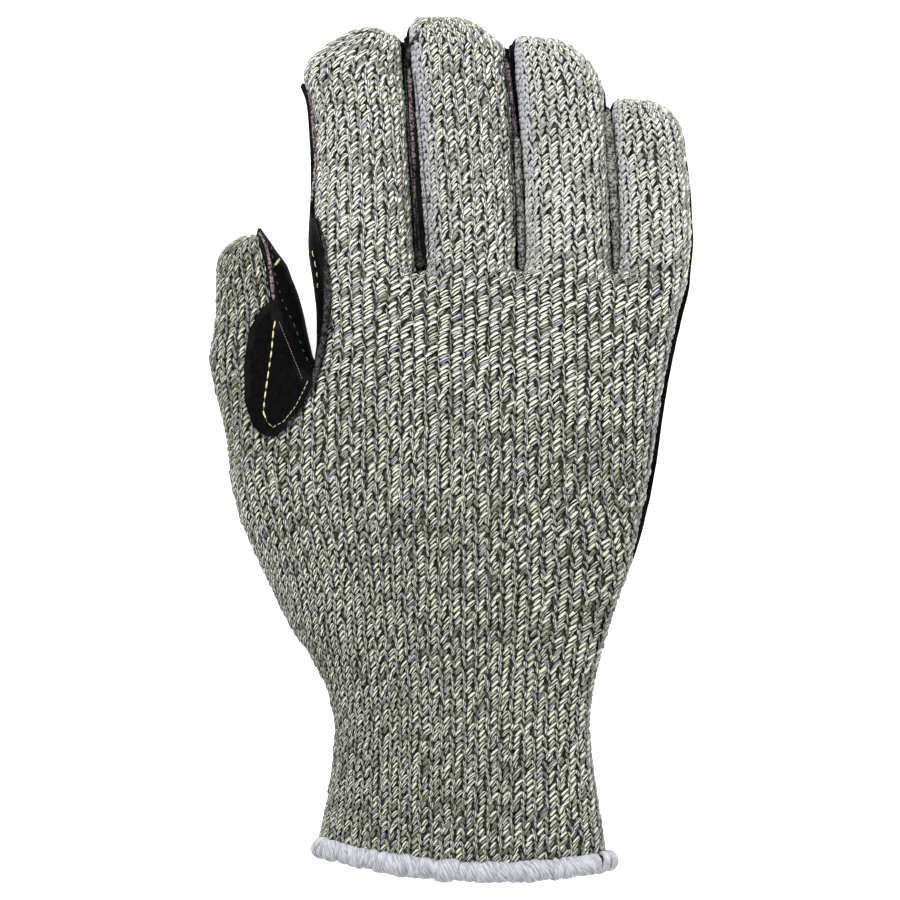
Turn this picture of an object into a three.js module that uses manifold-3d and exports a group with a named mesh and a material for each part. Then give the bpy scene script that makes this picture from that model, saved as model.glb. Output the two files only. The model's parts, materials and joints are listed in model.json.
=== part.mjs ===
// A leather palm work glove for the right hand, lying palm down.
// A seamless knitted glove, hollow and open at the cuff, carries three pieces of black leather
// and a thick overlocked hem. Millimetres: +X away from the thumb, +Y to the fingertips, +Z up.
import * as THREE from 'three';
import { mergeVertices } from 'three/addons/utils/BufferGeometryUtils.js';
import Module from 'manifold-3d';

const wasm = await Module();
wasm.setup();

// Thicknesses, and the gap between pieces that are sewn face to face
const KNIT_WALL = 2.0;
const LEATHER = 1.3;
const GAP = 0.3;
const KNIT_REST = LEATHER + GAP;

// Where the leather ends at the wrist, and how deep the crotch patch reaches down the web
const PALM_END = -45.5;
const PATCH_FOOT = 7.0;

// The hem is a round roll of this radius, whose middle runs round the end of the cuff
const HEM_RADIUS = 3.3;
const HEM = { x0: -36.0, x1: 44.3, z0: 2.7, z1: 27.6, side: -117.2, middle: -121.4, tilt: -1.9 };
const HEM_STEPS = 40;
const HEM_SIDES = 10;
const HEM_CUT_STEPS = 12;

// How squarish a section is: 2 is an ellipse
const SECTION_POWER = 2.2;

// Planes clear of the whole glove, which the cutting prisms reach
const ABOVE_ALL = 60;
const BELOW_ALL = -20;
const ASIDE = 80;
const BEFORE_ALL = -150;

// The knit's outer surface, a row for each section across the hand: its left and right edges
// and its lowest and highest points, before the floor flattens the underside.
// A limb ends in a rounded tip, whose powers say how full it is across and in height.
const HAND = {
  tip: { x: 14, z: 14, y: 50.5 },
  fullness: { x: 7, z: 2.4 },
  rows: [
    { y: -135, x0: -39.0, x1: 46.0, z0: 1.0, z1: 29.0 },
    { y: -112, x0: -37.4, x1: 43.6, z0: 1.0, z1: 28.4 },
    { y: -98, x0: -35.2, x1: 41.9, z0: 0.8, z1: 27.8 },
    { y: -81, x0: -33.5, x1: 40.2, z0: 0.6, z1: 27.4 },
    { y: -72, x0: -34.6, x1: 40.9, z0: 0.4, z1: 27.6 },
    { y: -63, x0: -38.6, x1: 42.7, z0: 0.0, z1: 28.2 },
    { y: -55, x0: -42.4, x1: 44.6, z0: -0.6, z1: 28.8 },
    { y: -38, x0: -44.0, x1: 49.3, z0: -1.6, z1: 30.4 },
    { y: -12, x0: -42.4, x1: 56.9, z0: -2.2, z1: 31.6 },
    { y: 14, x0: -39.8, x1: 60.8, z0: -2.2, z1: 31.4 },
    { y: 31, x0: -37.2, x1: 63.6, z0: -2.0, z1: 30.4 },
    { y: 41, x0: -37.2, x1: 65.4, z0: -1.8, z1: 28.8 },
  ],
};

const LIMBS = {
  thumb: {
    tip: { x: -59.0, z: 13.5, y: 61.0 },
    fullness: { x: 2.4, z: 2.2 },
    rows: [
      { y: -68, x0: -30.0, x1: 2.0, z0: 3.0, z1: 23.0 },
      { y: -57, x0: -42.2, x1: 4.0, z0: 1.0, z1: 26.0 },
      { y: -47, x0: -48.3, x1: 4.0, z0: 0.0, z1: 26.8 },
      { y: -29, x0: -57.1, x1: -2.0, z0: -0.8, z1: 27.2 },
      { y: -12, x0: -62.6, x1: -13.0, z0: -1.2, z1: 26.4 },
      { y: 3, x0: -64.6, x1: -24.5, z0: -1.2, z1: 25.4 },
      { y: 14, x0: -67.0, x1: -33.0, z0: -1.2, z1: 24.8 },
      { y: 24, x0: -69.3, x1: -40.2, z0: -1.0, z1: 24.4 },
      { y: 36, x0: -67.8, x1: -43.5, z0: -0.8, z1: 24.2 },
      { y: 49, x0: -67.4, x1: -47.4, z0: -0.4, z1: 23.8 },
    ],
  },
  index: {
    tip: { x: -25.5, z: 12.0, y: 120.9 },
    fullness: { x: 2.6, z: 2.2 },
    rows: [
      { y: 22, x0: -30.0, x1: -6.0, z0: 3.0, z1: 24.6 },
      { y: 38, x0: -36.9, x1: -8.0, z0: -1.4, z1: 27.8 },
      { y: 54, x0: -38.2, x1: -10.7, z0: -1.6, z1: 27.0 },
      { y: 77, x0: -38.5, x1: -12.7, z0: -1.4, z1: 25.4 },
      { y: 106, x0: -40.0, x1: -14.9, z0: -0.7, z1: 23.5 },
    ],
  },
  middle: {
    tip: { x: -1.5, z: 12.0, y: 124.8 },
    fullness: { x: 2.8, z: 2.2 },
    rows: [
      { y: 22, x0: -5.0, x1: 18.0, z0: 2.0, z1: 29.8 },
      { y: 38, x0: -5.6, x1: 18.0, z0: -1.4, z1: 29.4 },
      { y: 54, x0: -6.8, x1: 17.9, z0: -1.6, z1: 27.8 },
      { y: 77, x0: -8.8, x1: 17.7, z0: -1.4, z1: 26.2 },
      { y: 110, x0: -11.2, x1: 15.0, z0: -0.6, z1: 24.0 },
    ],
  },
  ring: {
    tip: { x: 27.4, z: 12.0, y: 118.4 },
    fullness: { x: 2.8, z: 2.2 },
    rows: [
      { y: 22, x0: 21.0, x1: 45.0, z0: 2.0, z1: 29.0 },
      { y: 38, x0: 21.2, x1: 46.2, z0: -1.4, z1: 28.6 },
      { y: 54, x0: 21.3, x1: 46.4, z0: -1.6, z1: 26.6 },
      { y: 77, x0: 20.9, x1: 45.6, z0: -1.4, z1: 25.0 },
      { y: 104, x0: 18.9, x1: 42.4, z0: -0.6, z1: 23.2 },
    ],
  },
  little: {
    tip: { x: 54.8, z: 10.5, y: 100.9 },
    fullness: { x: 2.7, z: 2.2 },
    rows: [
      { y: 22, x0: 43.0, x1: 57.0, z0: 4.0, z1: 21.0 },
      { y: 36, x0: 47.0, x1: 64.2, z0: -1.0, z1: 24.4 },
      { y: 48, x0: 48.2, x1: 67.4, z0: -1.6, z1: 24.2 },
      { y: 58, x0: 48.4, x1: 69.2, z0: -1.5, z1: 23.2 },
      { y: 70, x0: 48.2, x1: 69.2, z0: -1.4, z1: 22.2 },
      { y: 86, x0: 46.5, x1: 67.1, z0: -0.6, z1: 20.4 },
    ],
  },
};

// How high the leather's sewn edge runs on each side of the fingers, a row for each y:
// the thumb's outer side, the index finger's outer side, the three gaps, and the far side
const SEAM_X = { thumb: -70, radial: -41, indexMiddle: -11, middleRing: 19.6, ringLittle: 46.6, ulnar: 71 };
const SEAM_ROWS = [
  { y: PALM_END, thumb: 3, radial: 8, indexMiddle: 13, middleRing: 13, ringLittle: 13, ulnar: 7 },
  { y: -37, thumb: 3, radial: 8, indexMiddle: 13, middleRing: 13, ringLittle: 13, ulnar: 14 },
  { y: 38, thumb: 3, radial: 12, indexMiddle: 14, middleRing: 13, ringLittle: 11, ulnar: 13 },
  { y: 51, thumb: 3, radial: 13, indexMiddle: 14, middleRing: 13, ringLittle: 9, ulnar: 6 },
  { y: 88, thumb: 3, radial: 12, indexMiddle: 14, middleRing: 13, ringLittle: 7, ulnar: 4 },
  { y: 106, thumb: 3, radial: 12, indexMiddle: 13, middleRing: 12, ringLittle: 5, ulnar: 4 },
  { y: 118, thumb: 3, radial: 6, indexMiddle: 8, middleRing: 6, ringLittle: 5, ulnar: 4 },
  { y: 130, thumb: 3, radial: 5, indexMiddle: 5, middleRing: 5, ringLittle: 5, ulnar: 4 },
];

// Plan outlines of the leather that shows on the back of the hand
const INDEX_STRIP = [
  { x: -60, y: 66.6 }, { x: -38.2, y: 66.6 }, { x: -38.2, y: 80 }, { x: -38.9, y: 92 },
  { x: -40.4, y: 101 }, { x: -42.0, y: 107 }, { x: -60, y: 107 },
];
const PATCH_OUTLINE = [
  { x: -44, y: 66.3 }, { x: -38.2, y: 66.3 }, { x: -36.4, y: 58 }, { x: -35.3, y: 43 },
  { x: -36.2, y: 34 }, { x: -39.3, y: 20 }, { x: -44.5, y: 9.6 }, { x: -49, y: 4.6 },
  { x: -52.6, y: 3.4 }, { x: -56.2, y: 6.4 }, { x: -58.8, y: 14 }, { x: -58.8, y: 26 },
  { x: -57.4, y: 34.6 }, { x: -54.2, y: 40 }, { x: -51.2, y: 42.8 }, { x: -43, y: 43.2 },
  { x: -43.4, y: 50 },
];
const THUMB_FLANK = [
  { x: -55.6, y: 70 }, { x: -54.4, y: 61 }, { x: -52.6, y: 54 }, { x: -51.2, y: 42.8 },
  { x: -49.6, y: 36 }, { x: -42.4, y: 20 }, { x: -39.5, y: 23.5 }, { x: -40.5, y: 36 },
  { x: -43.4, y: 50 }, { x: -46, y: 70 },
];
const THUMB_SIDE = [
  { x: -39.5, y: 23.5 }, { x: -40.5, y: 36 }, { x: -43.4, y: 50 }, { x: -48, y: 90 },
  { x: -90, y: 90 }, { x: -90, y: -14 },
];

const KNIT = new THREE.MeshStandardMaterial({ color: 0x999a8c, roughness: 0.95, metalness: 0 });
const HEM_YARN = new THREE.MeshStandardMaterial({ color: 0xdcdce0, roughness: 0.9, metalness: 0 });
const BLACK_LEATHER = new THREE.MeshStandardMaterial({ color: 0x17161a, roughness: 0.8, metalness: 0 });

function solidFromArrays(positions, triangles) {
  return new wasm.Manifold(new wasm.Mesh({
    numProp: 3,
    vertProperties: new Float32Array(positions),
    triVerts: new Uint32Array(triangles),
  }));
}

function solidFromGeometry(geometry) {
  geometry.deleteAttribute('normal');
  geometry.deleteAttribute('uv');
  const merged = mergeVertices(geometry, 1e-4);
  return solidFromArrays(merged.attributes.position.array, merged.index.array);
}

function meshOf(name, solid, material) {
  const data = solid.getMesh();
  const geometry = new THREE.BufferGeometry();
  geometry.setAttribute('position', new THREE.BufferAttribute(data.vertProperties, 3));
  geometry.setIndex(new THREE.BufferAttribute(data.triVerts, 1));
  geometry.computeVertexNormals();
  const mesh = new THREE.Mesh(geometry, material);
  mesh.name = name;
  return mesh;
}

function signedPower(value, power) {
  return Math.sign(value) * Math.abs(value) ** power;
}

// One section: a ring of points on a superellipse in the plane of constant y
function ringPoints(section, sides) {
  const points = [];
  for (let i = 0; i < sides; i += 1) {
    const angle = (i / sides) * 2 * Math.PI;
    points.push(
      section.x + section.a * signedPower(Math.cos(angle), 2 / SECTION_POWER),
      section.y,
      section.z + section.b * signedPower(Math.sin(angle), 2 / SECTION_POWER),
    );
  }
  return points;
}

// The sections of a limb grown outwards by a distance, from its root to the last ring of its tip
function limbSections(limb, grow, bodySteps, tipSteps) {
  const first = limb.rows[0];
  const last = limb.rows[limb.rows.length - 1];
  const table = limb.rows.flatMap((row) => [row.x0, row.x1, row.z0, row.z1]);
  const curve = new THREE.CubicInterpolant(limb.rows.map((row) => row.y), table, 4, new Array(4));
  const sections = [];
  for (let i = 0; i <= bodySteps; i += 1) {
    const y = first.y + ((last.y - first.y) * i) / bodySteps;
    const [x0, x1, z0, z1] = curve.evaluate(y);
    sections.push({
      y: i === 0 ? y - grow : y,
      x: (x0 + x1) / 2,
      z: (z0 + z1) / 2,
      a: (x1 - x0) / 2 + grow,
      b: (z1 - z0) / 2 + grow,
    });
  }
  const base = sections[bodySteps];
  for (let i = 1; i < tipSteps; i += 1) {
    const t = Math.sin((i / tipSteps) * (Math.PI / 2));
    sections.push({
      y: base.y + (limb.tip.y + grow - base.y) * t,
      x: base.x + (limb.tip.x - base.x) * t * t,
      z: base.z + (limb.tip.z - base.z) * t * t,
      a: base.a * (1 - t ** limb.fullness.x) ** (1 / limb.fullness.x),
      b: base.b * (1 - t ** limb.fullness.z) ** (1 / limb.fullness.z),
    });
  }
  return sections;
}

// A closed loft through the sections, with a flat root and a pole at the tip
function limbSolid(limb, grow, { sides, bodySteps, tipSteps }) {
  const sections = limbSections(limb, grow, bodySteps, tipSteps);
  const root = sections[0];
  const positions = sections.flatMap((section) => ringPoints(section, sides));
  const rootPole = sections.length * sides;
  const tipPole = rootPole + 1;
  positions.push(root.x, root.y, root.z, limb.tip.x, limb.tip.y + grow, limb.tip.z);
  const triangles = [];
  for (let i = 0; i < sides; i += 1) {
    const next = (i + 1) % sides;
    triangles.push(rootPole, i, next);
    for (let k = 0; k < sections.length - 1; k += 1) {
      const here = k * sides;
      const there = here + sides;
      triangles.push(here + i, there + i, there + next, here + i, there + next, here + next);
    }
    const end = (sections.length - 1) * sides;
    triangles.push(end + i, tipPole, end + next);
  }
  return solidFromArrays(positions, triangles);
}

// A straight prism over a plan outline
function prism(outline, z0, z1) {
  const shape = new THREE.Shape(outline.map((point) => new THREE.Vector2(point.x, point.y)));
  const geometry = new THREE.ExtrudeGeometry(shape, { depth: z1 - z0, bevelEnabled: false });
  geometry.translate(0, 0, z0);
  return solidFromGeometry(geometry);
}

// A plan outline moved outwards all round by a distance
function widened(outline, distance) {
  const points = outline.map((point) => new THREE.Vector2(point.x, point.y));
  const turn = Math.sign(THREE.ShapeUtils.area(points));
  return points.map((point, i) => {
    const before = points[(i + points.length - 1) % points.length];
    const after = points[(i + 1) % points.length];
    const inward = point.clone().sub(before).normalize();
    const outward = after.clone().sub(point).normalize();
    const normalIn = new THREE.Vector2(inward.y, -inward.x).multiplyScalar(turn);
    const normalOut = new THREE.Vector2(outward.y, -outward.x).multiplyScalar(turn);
    const normal = normalIn.clone().add(normalOut).normalize();
    return point.clone().addScaledVector(normal, distance / Math.max(normal.dot(normalIn), 0.5));
  });
}

function above(z) {
  const reach = 200;
  const square = [
    { x: -reach, y: -reach }, { x: reach, y: -reach }, { x: reach, y: reach }, { x: -reach, y: reach },
  ];
  return prism(square, z, ABOVE_ALL);
}

// The whole glove's outer form, grown by a distance and flat where it rests
function gloveForm(grow, detail) {
  let form = limbSolid(HAND, grow, {
    sides: detail.hand,
    bodySteps: detail.handSteps,
    tipSteps: HAND_TIP_STEPS,
  });
  for (const limb of Object.values(LIMBS)) {
    const sides = limb === LIMBS.thumb ? detail.thumb : detail.finger;
    const bodySteps = limb === LIMBS.thumb ? detail.thumbSteps : detail.fingerSteps;
    form = form.add(limbSolid(limb, grow, { sides, bodySteps, tipSteps: detail.tipSteps }));
  }
  return form.intersect(above(KNIT_REST - grow));
}

// How many sides and sections the outer and the inner surface have
const HAND_TIP_STEPS = 5;
const FINE = {
  hand: 30, handSteps: 16, thumb: 18, thumbSteps: 10, finger: 18, fingerSteps: 5, tipSteps: 6,
};
const COARSE = {
  hand: 22, handSteps: 12, thumb: 14, thumbSteps: 8, finger: 12, fingerSteps: 4, tipSteps: 4,
};

// The hem's middle line: round the end of the cuff, further out in the middle than at the sides
function hemPoint(angle) {
  const half = (HEM.x1 - HEM.x0) / 2;
  const across = signedPower(Math.cos(angle), 2 / SECTION_POWER);
  const up = signedPower(Math.sin(angle), 2 / SECTION_POWER);
  return new THREE.Vector3(
    (HEM.x0 + HEM.x1) / 2 + half * across,
    HEM.middle + (HEM.side - HEM.middle) * across * across + HEM.tilt * across,
    (HEM.z0 + HEM.z1) / 2 + ((HEM.z1 - HEM.z0) / 2) * up,
  );
}

// The plan of everything beyond the hem's middle line, shifted along y
function beyondHem(shift) {
  const outline = [
    { x: ASIDE, y: BEFORE_ALL }, { x: -ASIDE, y: BEFORE_ALL }, { x: -ASIDE, y: HEM.side - HEM.tilt + shift },
  ];
  for (let i = 0; i <= HEM_CUT_STEPS; i += 1) {
    const point = hemPoint(Math.PI - (i / HEM_CUT_STEPS) * Math.PI);
    outline.push({ x: point.x, y: point.y + shift });
  }
  outline.push({ x: ASIDE, y: HEM.side + HEM.tilt + shift });
  return outline;
}

function hemRoll() {
  const middle = new THREE.Vector3((HEM.x0 + HEM.x1) / 2, 0, (HEM.z0 + HEM.z1) / 2);
  const positions = [];
  const triangles = [];
  for (let i = 0; i < HEM_STEPS; i += 1) {
    const angle = (i / HEM_STEPS) * 2 * Math.PI;
    const centre = hemPoint(angle);
    const ahead = hemPoint(angle + 0.02).sub(hemPoint(angle - 0.02)).normalize();
    const out = centre.clone().sub(middle).setY(0).normalize();
    const along = new THREE.Vector3().crossVectors(ahead, out).normalize();
    const across = new THREE.Vector3().crossVectors(along, ahead).normalize();
    for (let k = 0; k < HEM_SIDES; k += 1) {
      const turn = (k / HEM_SIDES) * 2 * Math.PI;
      const point = centre.clone()
        .addScaledVector(across, HEM_RADIUS * Math.cos(turn))
        .addScaledVector(along, HEM_RADIUS * Math.sin(turn));
      positions.push(point.x, point.y, point.z);
      const a = i * HEM_SIDES + k;
      const b = i * HEM_SIDES + ((k + 1) % HEM_SIDES);
      const c = ((i + 1) % HEM_STEPS) * HEM_SIDES + k;
      const d = ((i + 1) % HEM_STEPS) * HEM_SIDES + ((k + 1) % HEM_SIDES);
      triangles.push(a, b, d, a, d, c);
    }
  }
  return solidFromArrays(positions, triangles);
}

// Everything under the leather's sewn edge: a slab with a flat foot and the seam heights on top
function underSeam() {
  const columns = Object.keys(SEAM_X);
  const width = columns.length;
  const count = SEAM_ROWS.length * width;
  const positions = [];
  for (const row of SEAM_ROWS) {
    columns.forEach((column) => positions.push(SEAM_X[column], row.y, row[column]));
  }
  for (const row of SEAM_ROWS) {
    columns.forEach((column) => positions.push(SEAM_X[column], row.y, BELOW_ALL));
  }
  const triangles = [];
  const quad = (a, b, c, d) => triangles.push(a, b, c, a, c, d);
  for (let r = 0; r < SEAM_ROWS.length - 1; r += 1) {
    for (let c = 0; c < width - 1; c += 1) {
      const at = r * width + c;
      quad(at, at + 1, at + width + 1, at + width);
      quad(count + at, count + at + width, count + at + width + 1, count + at + 1);
    }
  }
  const rim = [];
  for (let c = 0; c < width; c += 1) rim.push(c);
  for (let r = 1; r < SEAM_ROWS.length; r += 1) rim.push(r * width + width - 1);
  for (let c = width - 2; c >= 0; c -= 1) rim.push((SEAM_ROWS.length - 1) * width + c);
  for (let r = SEAM_ROWS.length - 2; r > 0; r -= 1) rim.push(r * width);
  rim.forEach((at, i) => {
    const next = rim[(i + 1) % rim.length];
    quad(count + at, count + next, next, at);
  });
  return solidFromArrays(positions, triangles);
}

const outside = gloveForm(0, FINE);
const hollow = gloveForm(-KNIT_WALL, COARSE);
const cuffEnd = prism(beyondHem(0), BELOW_ALL, ABOVE_ALL);
const knitShell = outside.subtract(hollow).subtract(cuffEnd);

const gripWall = gloveForm(GAP, FINE).subtract(gloveForm(-KNIT_WALL - GAP, COARSE));
const grip = gripWall.subtract(prism(beyondHem(-GAP), BELOW_ALL, ABOVE_ALL));
const cuffHem = hemRoll().subtract(grip).intersect(above(0));

const leatherLayer = gloveForm(KNIT_REST, FINE).subtract(gloveForm(GAP, FINE));
const patchCover = prism(widened(PATCH_OUTLINE, GAP), PATCH_FOOT - GAP, ABOVE_ALL);
const flank = prism(THUMB_FLANK, BELOW_ALL, ABOVE_ALL);
const thumbSide = prism(THUMB_SIDE, BELOW_ALL, ABOVE_ALL);
const sewnUnder = underSeam();

const crotchPatch = leatherLayer
  .intersect(prism(PATCH_OUTLINE, PATCH_FOOT, ABOVE_ALL))
  .subtract(prism(widened(THUMB_FLANK, GAP), BELOW_ALL, ABOVE_ALL));
const thumbLeather = leatherLayer
  .intersect(sewnUnder.intersect(thumbSide).subtract(patchCover).add(flank));
const palmLeather = leatherLayer
  .intersect(sewnUnder.subtract(patchCover).add(prism(INDEX_STRIP, BELOW_ALL, ABOVE_ALL)))
  .subtract(prism(widened(THUMB_SIDE, GAP), BELOW_ALL, ABOVE_ALL))
  .subtract(prism(widened(THUMB_FLANK, GAP), BELOW_ALL, ABOVE_ALL));

const glove = new THREE.Group();
glove.add(meshOf('knit_shell', knitShell, KNIT));
glove.add(meshOf('cuff_hem', cuffHem, HEM_YARN));
glove.add(meshOf('palm_leather', palmLeather, BLACK_LEATHER));
glove.add(meshOf('thumb_leather', thumbLeather, BLACK_LEATHER));
glove.add(meshOf('crotch_patch', crotchPatch, BLACK_LEATHER));

export default glove;
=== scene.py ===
# %% [markdown]
# This lesson dresses a right-hand work glove that lies palm down: a seamless knitted shell of marled
# yarn, a black leather palm sewn on it, and a white overlocked hem round the cuff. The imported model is
# loaded first and fixes the frame, in metres: +X points away from the thumb, +Y to the fingertips and
# +Z out of the back of the hand. Every piece is made around it, where it says.

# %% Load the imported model
import json
import math

import bmesh
import bpy
import numpy as np
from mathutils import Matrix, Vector
from mathutils.bvhtree import BVHTree
from mathutils.kdtree import KDTree

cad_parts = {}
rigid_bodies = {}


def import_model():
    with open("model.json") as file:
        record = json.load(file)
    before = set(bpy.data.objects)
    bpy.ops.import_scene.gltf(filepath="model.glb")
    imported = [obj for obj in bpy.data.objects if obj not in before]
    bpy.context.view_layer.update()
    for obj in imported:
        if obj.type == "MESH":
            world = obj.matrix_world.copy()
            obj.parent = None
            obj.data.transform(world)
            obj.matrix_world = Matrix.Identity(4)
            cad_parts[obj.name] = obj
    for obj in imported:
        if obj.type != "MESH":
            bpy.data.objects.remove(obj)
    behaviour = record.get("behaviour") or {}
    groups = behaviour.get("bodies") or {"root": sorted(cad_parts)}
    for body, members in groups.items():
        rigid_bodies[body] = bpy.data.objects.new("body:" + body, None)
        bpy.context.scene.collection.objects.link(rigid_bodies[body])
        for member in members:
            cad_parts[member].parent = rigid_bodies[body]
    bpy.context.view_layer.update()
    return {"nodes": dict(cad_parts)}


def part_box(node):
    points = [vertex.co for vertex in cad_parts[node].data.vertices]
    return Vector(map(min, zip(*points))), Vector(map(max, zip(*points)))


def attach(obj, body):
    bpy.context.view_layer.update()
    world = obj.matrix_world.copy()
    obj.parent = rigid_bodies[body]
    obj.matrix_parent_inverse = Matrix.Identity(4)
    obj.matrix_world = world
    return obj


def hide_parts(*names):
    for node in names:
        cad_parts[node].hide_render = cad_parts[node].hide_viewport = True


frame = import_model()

MM = 0.001
chance = np.random.default_rng(7)

# %% [markdown]
# The knit follows the glove's outer form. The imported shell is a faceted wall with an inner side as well,
# so its outer side alone is taken out of a merged copy: the ring of faces at the cuff's end is deleted,
# which parts the two sides, and the side that holds the outermost vertex is kept. Its open end is drawn
# out past the cuff, so that the form stays true up to the hem. Modelling the form again would risk
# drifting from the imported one.

# %% Take the outer skin out of a copy of the shell
CUFF_END_FROM = -112 * MM
FACING_CUFF = -0.7
DRAWN_TO = -134 * MM


def merged_copy(node):
    """A node's triangles as a bmesh with shared vertices. The node's own mesh stays as it is."""
    copy = bmesh.new()
    copy.from_mesh(frame["nodes"][node].data)
    bmesh.ops.remove_doubles(copy, verts=copy.verts, dist=1e-6)
    return copy


def reached_from(start):
    """All the vertices that edges join to a first one."""
    reached, waiting = {start}, [start]
    while waiting:
        here = waiting.pop()
        for edge in here.link_edges:
            there = edge.other_vert(here)
            if there not in reached:
                reached.add(there)
                waiting.append(there)
    return reached


skin = merged_copy("knit_shell")
skin.normal_update()
end_ring = [
    face for face in skin.faces
    if face.normal.y < FACING_CUFF and face.calc_center_median().y < CUFF_END_FROM
]
bmesh.ops.delete(skin, geom=end_ring, context="FACES")
outer = reached_from(min(skin.verts, key=lambda vertex: vertex.co.x))
bmesh.ops.delete(skin, geom=[vertex for vertex in skin.verts if vertex not in outer], context="VERTS")
open_edges = [edge for edge in skin.edges if edge.is_boundary]
drawn = bmesh.ops.extrude_edge_only(skin, edges=open_edges)["geom"]
for item in drawn:
    if isinstance(item, bmesh.types.BMVert):
        item.co.y = DRAWN_TO
bmesh.ops.holes_fill(skin, edges=skin.edges)
bmesh.ops.recalc_face_normals(skin, faces=skin.faces)
print("outer skin:", len(skin.verts), "vertices,", len(skin.faces), "faces")

# %% [markdown]
# Fabric has no facets. A voxel remesh gives the skin even faces of one millimetre, fine enough to keep
# neighbouring fingers apart, and rounds of smoothing melt the facets into one soft form. Plain smoothing
# would thin the fingers, so each step inwards is followed by a slightly larger step outwards.

# %% Even out and smooth the skin
VOXEL = 1.0 * MM
SMOOTHING = 60
STEP_IN, STEP_OUT = 0.5, -0.53


def mesh_from(shape, name):
    """A bmesh as a new mesh. The bmesh is freed."""
    mesh = bpy.data.meshes.new(name)
    shape.to_mesh(mesh)
    shape.free()
    return mesh


def linked(name, mesh):
    """A new object at the origin, linked to the scene."""
    made = bpy.data.objects.new(name, mesh)
    bpy.context.scene.collection.objects.link(made)
    return made


def remeshed(mesh, voxel):
    """The mesh rebuilt from even voxels."""
    holder = linked("remesh_holder", mesh)
    modifier = holder.modifiers.new("Remesh", "REMESH")
    modifier.mode = "VOXEL"
    modifier.voxel_size = voxel
    graph = bpy.context.evaluated_depsgraph_get()
    result = bpy.data.meshes.new_from_object(holder.evaluated_get(graph))
    bpy.data.objects.remove(holder)
    return result


def positions(mesh):
    """A mesh's vertices as rows of three numbers."""
    values = np.empty(len(mesh.vertices) * 3)
    mesh.vertices.foreach_get("co", values)
    return values.reshape(-1, 3)


def relaxed(points, edges, rounds):
    """Points moved towards their neighbours' mean and back a little further, again and again."""
    neighbours = np.bincount(edges.ravel(), minlength=len(points))[:, None]
    for step in [STEP_IN, STEP_OUT] * rounds:
        total = np.zeros_like(points)
        np.add.at(total, edges[:, 0], points[edges[:, 1]])
        np.add.at(total, edges[:, 1], points[edges[:, 0]])
        points = points + step * (total / neighbours - points)
    return points


form = remeshed(mesh_from(skin, "skin"), VOXEL)
form_edges = np.array([edge.vertices[:] for edge in form.edges])
plain_points = relaxed(positions(form), form_edges, SMOOTHING)
print("smooth form:", len(plain_points), "vertices")

# %% [markdown]
# Worn fabric bulges in some places and is flattened in others. Each press moves the surface a little
# round its middle and fades out with distance, so that the outline of every finger comes out as it is.
# Sculpting would do the same by hand, but could not be read or changed later.

# %% Press the form to the glove's outline
# Each press has its middle, its reach in x and in y, and how far it moves the surface, in millimetres.
PRESSES = [
    ((-41, 60), (5, 11), (-1.5, 0)), ((-48, 58.5), (4, 4), (-1.8, -0.7)), ((69, 42), (7, 13), (1.0, 0)),
    ((-40, 108.5), (3, 4), (-2.4, 0)), ((-14.8, 100), (2.2, 12), (1.3, 0)),
    ((-12.5, 72), (2.2, 14), (0.8, 0)), ((15.0, 98), (2, 9), (1.3, 0)), ((17.3, 68), (2, 18), (1.2, 0)),
    ((43.3, 90), (2, 10), (1.1, 0)), ((-59.3, 60), (4, 3), (0, 1.3)), ((-60.5, -16), (5, 13), (-0.8, 0)),
    ((50, -41), (5, 14), (1.0, 0)), ((-36, -116), (4, 8), (-1.0, 0)), ((44.5, -112), (4, 14), (1.0, 0)),
    ((-42, 97), (3, 9), (-0.6, 0)), ((-24, 121), (5, 3), (0, 1.1)), ((-16.5, 116), (2.5, 3), (1.2, 1.5)),
    ((-12, 118), (2.2, 4), (-0.8, 1.6)), ((10, 120), (3, 3), (0, -0.7)), ((15, 114), (2, 3), (0.8, 0.8)),
    ((19.5, 116), (2.5, 3.5), (-0.8, 1.8)), ((37, 115), (4, 3), (0, -0.8)),
    ((43.5, 104), (2, 4), (0.8, 0.8)), ((48, 98.5), (2.5, 3), (-0.8, 1.8)), ((67, 88), (3, 10), (0.7, 0)),
    ((-45, -53), (5, 10), (-0.9, 0)), ((-67.5, 23), (3, 9), (-0.7, 0)), ((-67.5, 50), (3, 8), (-0.4, 0)),
    ((-45.5, 45), (3, 8), (0.8, 0.3)), ((52, -34), (4, 7), (0.7, 0)), ((-63.5, 60.5), (3, 3), (0.8, -0.9)),
    ((-32, 119), (4, 3), (0.5, -0.9)), ((-9.5, 122.5), (3, 3), (-0.3, 1.0)),
    ((18, 115), (2.5, 3), (0, 1.3)), ((25, 118.5), (5, 3), (0, 0.7)), ((44.5, 101), (2, 4), (0.5, 0.8)),
]


def pressed(points):
    """Points moved a little by every press."""
    for middle, reach, move in PRESSES:
        away = (points[:, :2] / MM - np.array(middle)) / np.array(reach)
        share = np.exp(-0.5 * np.sum(away ** 2, axis=1))
        points = points + share[:, None] * np.array([*move, 0]) * MM
    return points


form_points = pressed(plain_points)
form.vertices.foreach_set("co", form_points.ravel())
form.update()
form.calc_loop_triangles()
form_triangles = np.array([triangle.vertices[:] for triangle in form.loop_triangles])
form_normals = np.array([vertex.normal[:] for vertex in form.vertices])
form_tree = BVHTree.FromPolygons(form_points.tolist(), form_triangles.tolist())
print("pressed in", len(PRESSES), "places")

# %% [markdown]
# A level line of any value over the form can be read off its triangles: where the value crosses the level
# on an edge, there is a point, and each triangle joins two of them. Chained up, they give a course of
# knitting when the value is the height y, and a seam when it is the distance from an edge.

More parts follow.
